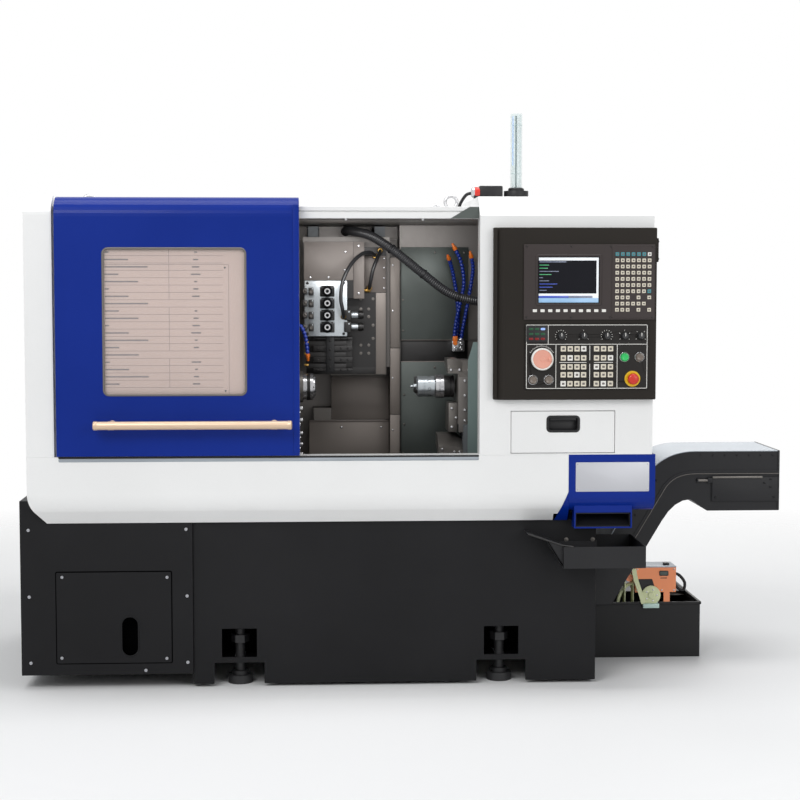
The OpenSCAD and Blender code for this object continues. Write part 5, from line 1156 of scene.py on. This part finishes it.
bm = bmesh.new()
screws(bm, BASE_SCREWS, BASE_Y, 12)
screws(bm, ACCESS_SCREWS, ACCESS_Y, 11)
rim(bm, SLOT_X, SLOT_Z, 5, ACCESS_Y + 1, ACCESS_Y - 2.5, 28, 1, 2)
# A black box behind the hand slot paints the shade inside the cover
block(bm, SLOT_BOX_X, (SLOT_BOX_Y[1] - SLOT_WALL, SLOT_BOX_Y[1]), SLOT_BOX_Z, 2, 1)
for x in (SLOT_BOX_X[0], SLOT_BOX_X[1] - SLOT_WALL):
    block(bm, (x, x + SLOT_WALL), SLOT_BOX_Y, SLOT_BOX_Z, 1, 1)
for z in (SLOT_BOX_Z[0], SLOT_BOX_Z[1] - SLOT_WALL):
    block(bm, SLOT_BOX_X, SLOT_BOX_Y, (z, z + SLOT_WALL), 1, 1)
# A black rim round the access panel paints the shadow in the gap round it
rim(bm, ACCESS_X, ACCESS_Z, 4, BASE_Y + 0.5, BASE_Y - 0.6, 3, 0.2, 1)
# Black boxes behind the feet's windows paint the shade inside the base
floor_top = FOOT_BOX_Z[0] + FOOT_WALL
for x in FOOT_XS:
    left, right = about(x, FOOT_BOX_HALF)
    block(bm, (left, right), (FOOT_BOX_Y[1], FOOT_BOX_Y[1] + 4), FOOT_BOX_Z, 1, 1)
    for floor_x in ((left, x - FOOT_STEM_HALF), (x + FOOT_STEM_HALF, right)):
        block(bm, floor_x, FOOT_BOX_Y, (FOOT_BOX_Z[0], floor_top), 0.5, 1)
    for wall_x in (left, right - FOOT_WALL):
        block(bm, (wall_x, wall_x + FOOT_WALL), FOOT_BOX_Y, (floor_top, FOOT_BOX_Z[1]), 0.5, 1)
piece("base_screws", bm, ["plate_silver", "painted_shade_black", "base_paint"])

# A grey strip along the sill, and above it a black strip that paints the shadow in the gap under the door
SILL_X = (-1262, 228)
bm = bmesh.new()
plate(bm, SILL_X, (829, 841), SHELL_Y + 0.5, SHELL_Y - 1.6, 4, 0.6)
plate(bm, SILL_X, (841, 848), SHELL_Y + 0.5, SHELL_Y - 1.2, 2, 0.4, 1)
piece("sill_strip", bm, ["pale_grey_and_painted_sheen", "black_plastic"])

# Blank plate on the corner panel
BLANK_X = (577, 843)
BLANK_Z = (713, 819)
bm = bmesh.new()
plate(bm, BLANK_X, BLANK_Z, SHELL_Y + 0.5, SHELL_Y - 2, 3, 0.8)
screws(bm, [(x, z) for x in inset(BLANK_X, 7) for z in inset(BLANK_Z, 7)], SHELL_Y - 1.8, 4, 1)
piece("corner_plate", bm, ["plate_silver", "bright_steel"])

PULL_X = (479, 582)
PULL_Z = (936, 979)
PULL_BACK = -651.5
bm = bmesh.new()
rim(bm, PULL_X, PULL_Z, 2.4, PULL_BACK, SHELL_Y - 0.4, 6, 0.6)
rim(bm, PULL_X, PULL_Z, 9, SHELL_Y + 0.5, SHELL_Y - 2.5, 6, 1.2)
plate(bm, inset(PULL_X, -1), inset(PULL_Z, -1), PULL_BACK, PULL_BACK - 1.5, 6, 0.5)
box(bm, (PULL_X[0] + 4, SHELL_Y + 1, PULL_Z[1] - 9), (PULL_X[1] - 4, SHELL_Y + 8, PULL_Z[1] + 1), 2)
piece("drawer_pull", bm, ["black_plastic"], "drawer")

# Parts chute behind the outlet, in black that paints the shade inside it, and the tray's sloping side and
# hem
CHUTE_X = (581, 779)
CHUTE_Y = (-654, -430)
bm = bmesh.new()


def chute_sheet(x, z_front, z_back):
    """A sloping sheet of the chute: its lower and upper edge at the front and at the back."""
    front, back = CHUTE_Y
    loft(bm, [[(side, front, z_front[0]), (side, front, z_front[1]), (side, back, z_back[1]),
               (side, back, z_back[0])] for side in x])


chute_sheet(CHUTE_X, (583, 586), (700, 704))
chute_sheet(CHUTE_X, (630, 633), (768, 772))
for x in (CHUTE_X[0], CHUTE_X[1] - 2):
    chute_sheet((x, x + 2), (583, 633), (700, 772))
box(bm, (CHUTE_X[0], CHUTE_Y[1] - 2, 699), (CHUTE_X[1], CHUTE_Y[1] + 1, 773), 0.5)
piece("parts_chute", bm, ["black_plastic"])

TRAY_SIDE = [(527.5, 446), (531, 449), (474, 541), (469, 541)]
TRAY_FRONT = [(528, 446), (528, 522), (470, 541)]
TRAY_Y = (-719, -602)
TRAY_SCREWS = [(556, 529), (653, 529)]
HEM_LINE = [(401, -720, 567.5), (527, -720, 525), (562, -734, 522.5)]
HEM_R = 3.6
bm = bmesh.new()
slab(bm, TRAY_SIDE, TRAY_Y)
slab(bm, TRAY_FRONT, (TRAY_Y[0], TRAY_Y[0] + 3))
# The hem is in a steel lighter than the tray's paint: a painted highlight along its fold
hem = even_points([Vector(p) for p in HEM_LINE], 8)[0]
swept(bm, hem, [HEM_R] * len(hem), 2, 12)
for x, z in TRAY_SCREWS:
    turned(bm, (x, TRAY_Y[1] + 2, z), FRONT, [(0, 0), (8, 0), (8, 2), (0, 2)], 1, 20)
screws(bm, TRAY_SCREWS, TRAY_Y[1] + 0.2, 10, 1)
piece("tray_fittings", bm, ["conveyor_paint", "cover_steel", "dark_steel"])

# Conveyor: a pale top sheet that paints the sheen of light from above, flange seam with a pale strip that
# paints the highlight on its edge, side cover and latch
NECK_FOOT = (725, 430)
NECK_TURN = [(905, 732), (967, 821), (1090, 821)]
HEAD_END = (1413, 821)
CONVEYOR_Y = (-330, 20)


def bend(turn, count):
    """Points of a smooth bend that leaves its first point and meets its last along two straight lines."""
    a, b, c = (Vector(p) for p in turn)
    shares = [k / count for k in range(count + 1)]
    return [a * (1 - u) ** 2 + 2 * b * u * (1 - u) + c * u * u for u in shares]


def offset(line, distance):
    """The line moved sideways in its own plane."""
    moved = []
    for i, p in enumerate(line):
        along = (line[min(i + 1, len(line) - 1)] - line[max(i - 1, 0)]).normalized()
        moved.append(p + distance * Vector((-along.y, along.x)))
    return moved


def strip(bm, low_line, high_line, y, mat=0):
    """A sheet between two lines in X and Z, from one Y to another."""
    loft(bm, [[(a.x, y[0], a.y), (a.x, y[1], a.y), (b.x, y[1], b.y), (b.x, y[0], b.y)]
              for a, b in zip(low_line, high_line)], mat)


SIDE_COVER_X = (1153, 1405)
SIDE_COVER_Z = (631, 722)
SIDE_COVER_Y = -337.5
COVER_SCREW_PLACES = [(1378, 714), (1354, 700), (1378, 684), (1392, 645), (1166, 645)]
NECK_SCREW_LINE = [(800, 556), (852, 643), (905, 732)]
LATCH_PIN = [(0, 0), (4, 0), (5, 1), (5, 46), (0, 46)]

casing_y = CONVEYOR_Y[0]
neck_top = [Vector(NECK_FOOT)] + bend(NECK_TURN, 10) + [Vector(HEAD_END)]
seam = offset(neck_top, -78)
bm = bmesh.new()
# The pale strip along the top of the neck and head paints the sheen of light from above
strip(bm, offset(neck_top, -0.5), offset(neck_top, 2), (casing_y - 1.5, CONVEYOR_Y[1] + 1.5), 0)
strip(bm, offset(seam, -5), offset(seam, 5), (casing_y - 2.5, casing_y + 0.5), 1)
# The thin pale steel strip beside the seam is a painted highlight on the flange's edge
strip(bm, offset(seam, -8), offset(seam, -6), (casing_y - 4, casing_y + 0.5), 2)
box(bm, (HEAD_END[0] - 7, casing_y - 3, 596), (HEAD_END[0] + 0.5, CONVEYOR_Y[1] + 3, 824), 1, 1)
plate(bm, SIDE_COVER_X, SIDE_COVER_Z, SIDE_COVER_Y + 3, SIDE_COVER_Y, 4, 1, 1)
box(bm, (SIDE_COVER_X[0], -344, 719), (1346, -335, 727), 2, 2)
turned(bm, (1098, -338, 711), RIGHT, LATCH_PIN, 2, 16)
box(bm, (1134, -344, 702), (SIDE_COVER_X[0], -330, 721), 2, 1)
box(bm, (1094, -340, 704), (1104, -329.5, 718), 1.5, 1)
screws(bm, COVER_SCREW_PLACES, SIDE_COVER_Y + 0.2, 8, 1)
screws(bm, [(1110 + 46 * k, 806) for k in range(7)], casing_y + 0.2, 7, 1)
screws(bm, offset(bend(NECK_SCREW_LINE, 4), -40), casing_y + 0.2, 8, 1)
piece("conveyor_covers", bm, ["pale_grey_and_painted_sheen", "conveyor_paint", "cover_steel"])

# Oil skimmer: lid, window, cut-out, wheel, scraper, belt, hose and cable
SKIMMER_X = (890, 1050)
SKIMMER_Y = (-190, -80)
PORT_X = (986, 1018)
PORT_Z = (322, 338)
CUT_OUT = [(903, 257), (903, 308), (956, 308), (972, 257)]
BELT_WHEEL = (951, -194, 246)
BELT_WHEEL_FACE = -200.5
BELT_WHEEL_FORM = [(0, -3), (36, -3), (37, 0), (37, 5), (34, 7), (14, 7), (12, 11), (0, 11)]
BELT_LINE = [(883, -197, 350), (890, -200, 310), (908, -203, 256), (921, -204, 212)]
BELT_SECTION = [(-9, 0, 0), (9, 0, 0), (9, 4, 0), (-9, 4, 0)]
SKIMMER_HOSE = [(822, -150, 170), (834, -150, 232), (862, -152, 276), (905, -170, 290), (940, -184, 276),
                (948, -190, 250)]
SKIMMER_CABLE = [(1046, -128, 322), (1075, -128, 312), (1098, -128, 282), (1092, -128, 252),
                 (1070, -128, 262), (1040, -110, 300)]

face_y = SKIMMER_Y[0]
bm = bmesh.new()
box(bm, (SKIMMER_X[0] - 1, face_y - 1, 353), (SKIMMER_X[1] + 1, SKIMMER_Y[1] + 1, 357.5), 1, 1)
box(bm, (1008, -160, 357), (1030, -132, 366), 3, 2)
plate(bm, PORT_X, PORT_Z, face_y + 0.5, face_y - 2, 2, 0.6, 3)
rim(bm, inset(PORT_X, 1), inset(PORT_Z, 1), 3, face_y + 0.5, face_y - 2.8, 2, 0.6, 2)
plate(bm, (988, 1014), (310, 313), face_y + 0.5, face_y - 1, 1, 0.3, 2)
slab(bm, CUT_OUT, (face_y + 0.5, face_y - 1.2), 2)
screws(bm, [(x, 264) for x in (898, 994, 1042)], face_y, 7, 4)
screws(bm, [(898, 346), (1042, 346)], face_y, 6, 4)
turned(bm, BELT_WHEEL, FRONT, BELT_WHEEL_FORM, 0, 40)
screws(bm, [(BELT_WHEEL[0] + x, BELT_WHEEL[2] + z) for x, z in ring_places(5, 22)], BELT_WHEEL_FACE, 7, 4)
box(bm, (918, -208, 196), (982, -190.5, 214), 3, 5)
box(bm, (922, -195, 208), (978, -188, 222), 2, 5)
belt = curve_points(BELT_LINE, 6)
loft(bm, [[p + Vector(corner) for corner in BELT_SECTION] for p in belt], 0)
for route, r, mat, sides in ((SKIMMER_HOSE, 7, 0, 16), (SKIMMER_CABLE, 6, 2, 14)):
    line = curve_points(route, 8)
    swept(bm, line, [r] * len(line), mat, sides)
skimmer_slots = ["belt_fabric", "pale_grey_and_painted_sheen", "black_plastic", "dark_lens", "bright_steel",
                 "scraper_plastic"]
piece("skimmer_fittings", bm, skimmer_slots)

# Coolant tank: folded rim and its screen
bm = bmesh.new()
for low, high in (((665, -194, 207), (1150, -186, 218)), ((1140, -194, 207), (1150, 334, 218)),
                  ((790, 326, 207), (1150, 334, 218))):
    box(bm, low, high, 2)
for k in range(9):
    box(bm, (1062, 60 + 26 * k, 196), (1140, 72 + 26 * k, 200), 1, 1)
piece("tank_rim", bm, ["tank_paint", "cover_steel"])

# Rail end, door stops and the lamp's coupling
RAIL_END = [(128, 1690.5), (229.5, 1690.5), (229.5, 1731.5), (196, 1731.5)]
bm = bmesh.new()
slab(bm, RAIL_END, (-641.6, -639))
for x in (-245, 29):
    turned(bm, (x, -628, 1690), DOWN, [(0, 0), (7, 0), (7, 5), (5, 7), (0, 7)], 1, 6)
piece("rail_end", bm, ["wall_sheet", "bright_steel"])

LAMP_X = 402
LAMP_Y = -300
COUPLING_Z = 1799
PLUG_LINE = [(234, -300, 1797), (214, -296, 1790), (196, -270, 1762), (186, -250, 1730)]
bm = bmesh.new()
box(bm, (262, LAMP_Y - 19, 1771), (350, LAMP_Y + 19, 1824), 4, 1)
turned(bm, (264, LAMP_Y, COUPLING_Z), LEFT, [(0, 0), (21, 0), (21, 18), (18, 20), (0, 20)], 0, 28)
turned(bm, (246, LAMP_Y, COUPLING_Z), LEFT, [(0, 0), (19, 0), (19, 9), (14, 14), (0, 14)], 3, 28)
plug = curve_points(PLUG_LINE, 8)
swept(bm, plug, [6] * len(plug), 1, 14)
box(bm, (LAMP_X - 4, LAMP_Y - 4, 1816), (LAMP_X + 2, LAMP_Y + 4, 2086), 1, 4)
box(bm, (LAMP_X - 15, LAMP_Y - 6, 1900), (LAMP_X - 11, LAMP_Y - 2, 2084), 1, 5)
for z in (1870, 2050):
    turned(bm, (LAMP_X, LAMP_Y, z), UP, [(22.4, -1.5), (23.4, -1), (23.4, 1), (22.4, 1.5)], 2, 32)
turned(bm, (LAMP_X, LAMP_Y, 1805), UP, [(22, -1), (30, -1), (30, 8), (26, 12), (22.6, 12)], 1, 32)
lamp_slots = ["red_plastic", "black_plastic", "lamp_plastic", "bright_steel", "dark_steel", "blue_lens"]
piece("lamp_fittings", bm, lamp_slots)


# Rear cabinet: doors, louvres, hinges and handles

REAR_Y = 750
DOOR_XS = [(-1352, -636), (-622, 94), (108, 830)]
DOOR_Z = (640, 1690)
LOUVRE_TILT = 0.6

bm = bmesh.new()
for x0, x1 in DOOR_XS:
    box(bm, (x0, REAR_Y - 1, DOOR_Z[0]), (x1, REAR_Y + 4, DOOR_Z[1]), 2)
    for z in (DOOR_Z[0] + 120, DOOR_Z[1] - 120):
        turned(bm, (x0 - 4, REAR_Y + 5, z - 30), UP, [(0, 0), (5, 0), (5, 60), (0, 60)], 1, 14)
        box(bm, (x0 - 2, REAR_Y - 1, z - 28), (x0 + 24, REAR_Y + 6, z + 28), 1, 1)
    box(bm, (x1 - 52, REAR_Y + 3, 1130), (x1 - 22, REAR_Y + 10, 1270), 5, 2)
    box(bm, (x1 - 45, REAR_Y + 8, 1150), (x1 - 29, REAR_Y + 24, 1250), 5, 2)
    turned(bm, (x1 - 37, REAR_Y + 9, 1140), BACK, [(0, 0), (7, 0), (7, 3), (5, 4), (0, 4)], 1, 18)
    mid = (x0 + x1) / 2
    for z in (DOOR_Z[0] + 60, DOOR_Z[1] - 190):
        box(bm, (mid - 160, REAR_Y + 3, z), (mid + 160, REAR_Y + 5, z + 130), 1, 2)
        for k in range(8):
            tilt = turn_at((mid, REAR_Y + 8, z + 10 + 16 * k), LOUVRE_TILT, "X")
            box(bm, (-164, -8, -1.2), (164, 6, 1.2), 0.6, 0, 1, tilt)
piece("cabinet_doors", bm, ["white_paint", "bright_steel", "black_plastic"])

# Sides: service panels, louvres and the bar port ring
RIGHT_X = 853
LEFT_X = -1375
BAR_PORT_R = 40
BAR_PORT_RING = [(0, -4), (24, -4), (24, 5), (21, 8), (3, 8), (0, 5)]

bm = bmesh.new()
box(bm, (RIGHT_X - 1, -560, 1120), (RIGHT_X + 3.5, 180, 1690), 2)
for y in (-545, -190, 165):
    for z in (1135, 1675):
        screw(bm, (RIGHT_X + 3.3, y, z), RIGHT, 9, 1)
box(bm, (RIGHT_X - 1, 250, 1380), (RIGHT_X + 1.5, 450, 1640), 1, 2)
for k in range(14):
    tilt = turn_at((RIGHT_X + 4, 350, 1392 + 18 * k), -LOUVRE_TILT, "Y")
    box(bm, (-7, -104, -1.2), (6, 104, 1.2), 0.6, 0, 1, tilt)
port_ring = [(BAR_PORT_R + grow, rise) for grow, rise in BAR_PORT_RING]
turned(bm, (LEFT_X, AXIS_Y, AXIS_Z), LEFT, port_ring, 2, 48, closed=True)
for y, z in ring_places(6, BAR_PORT_R + 12):
    screw(bm, (LEFT_X - 7.8, AXIS_Y + y, AXIS_Z + z), LEFT, 8, 1)
for y0, y1 in ((-560, -340), (-150, 460)):
    box(bm, (LEFT_X - 3.5, y0, 900), (LEFT_X + 1, y1, 1640), 2)
    for y in (y0 + 14, y1 - 14):
        for z in (914, 1270, 1626):
            screw(bm, (LEFT_X - 3.3, y, z), LEFT, 9, 1)
piece("side_panels", bm, ["white_paint", "bright_steel", "black_plastic"])

# Roof: lifting eyes and sheet seams
ROOF_Z = 1725
EYE_R = 22
bm = bmesh.new()
for x in (-1180, 150):
    for y in (-380, 400):
        turned(bm, (x, y, ROOF_Z), UP, [(0, -1), (24, -1), (24, 6), (16, 10), (12, 16), (0, 16)], 0, 28)
        ring = [Vector((x + EYE_R * math.cos(a), y, ROOF_Z + 34 + EYE_R * math.sin(a)))
                for a in (2 * math.pi * k / 32 for k in range(33))]
        swept(bm, ring, [6] * len(ring), 0, 12)
for x in (-900, -520, -140):
    box(bm, (x - 14, -596, ROOF_Z - 1), (x + 14, 498, ROOF_Z + 3), 1.5, 1)
piece("roof_fittings", bm, ["bright_steel", "white_paint"])

# Coolant pump: fan cover and its rings
FAN_COVER = [(56, -46), (59, -44), (59, -4), (52, 3), (12, 3), (0, 3)]
pump_low, pump_high = sides_of("coolant_pump")
pump_at = ((pump_low.x + pump_high.x) / 2, (pump_low.y + pump_high.y) / 2, pump_high.z)
bm = bmesh.new()
turned(bm, pump_at, UP, FAN_COVER, 0, 40)
for k in range(4):
    r = 12 + 11 * k
    turned(bm, pump_at, UP, [(r, 2), (r + 5, 2), (r + 5, 4.5), (r, 4.5)], 1, 40, closed=True)
piece("pump_cover", bm, ["dark_steel", "black_plastic"])

# Rear closures of the end covers above the cabinet
CLOSURE_Y = (496, 500.4)
CLOSURE_EDGE = [(3, 1724), (3, 1740), (11, 1758), (29, 1766.5)]
bm = bmesh.new()
for x, side, inner in ((RIGHT_X, -1, 231), (LEFT_X, 1, -1278)):
    edge = [(x + side * step, z) for step, z in CLOSURE_EDGE]
    slab(bm, [(inner, 1724)] + edge + [(inner, 1766.5)], CLOSURE_Y)
piece("cover_closures", bm, ["white_paint"])


# Softened edges on the painted covers and panels of the CAD, each with its width

WELD_GAP = 0.01
EDGE_ANGLE = 40
SOFT_EDGES = {
    "door_panel": 2.5, "left_end_cover": 2, "right_front_cover": 2, "lower_front_cover": 2,
    "roof_cover": 1.5, "rear_cabinet": 3, "corner_panel": 2, "console_housing": 4, "drawer": 1.5,
    "base_skirt": 2, "left_base_cover": 3, "access_panel": 1.5, "drip_tray": 1, "conveyor_casing": 1.5,
    "coolant_tank": 1, "skimmer_housing": 3, "display_panel": 1.2, "operator_panel": 1.2, "lamp_base": 2,
    "door_rail": 1.5,
}
for node, width in SOFT_EDGES.items():
    cad = frame["nodes"][node]
    weld = cad.modifiers.new("weld", "WELD")
    weld.merge_threshold = WELD_GAP * MM
    soft = cad.modifiers.new("soft_edges", "BEVEL")
    soft.width = width * MM
    soft.segments = 2
    soft.limit_method = "ANGLE"
    soft.angle_limit = math.radians(EDGE_ANGLE)
    soft.use_clamp_overlap = True
    soft.harden_normals = True


low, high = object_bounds()
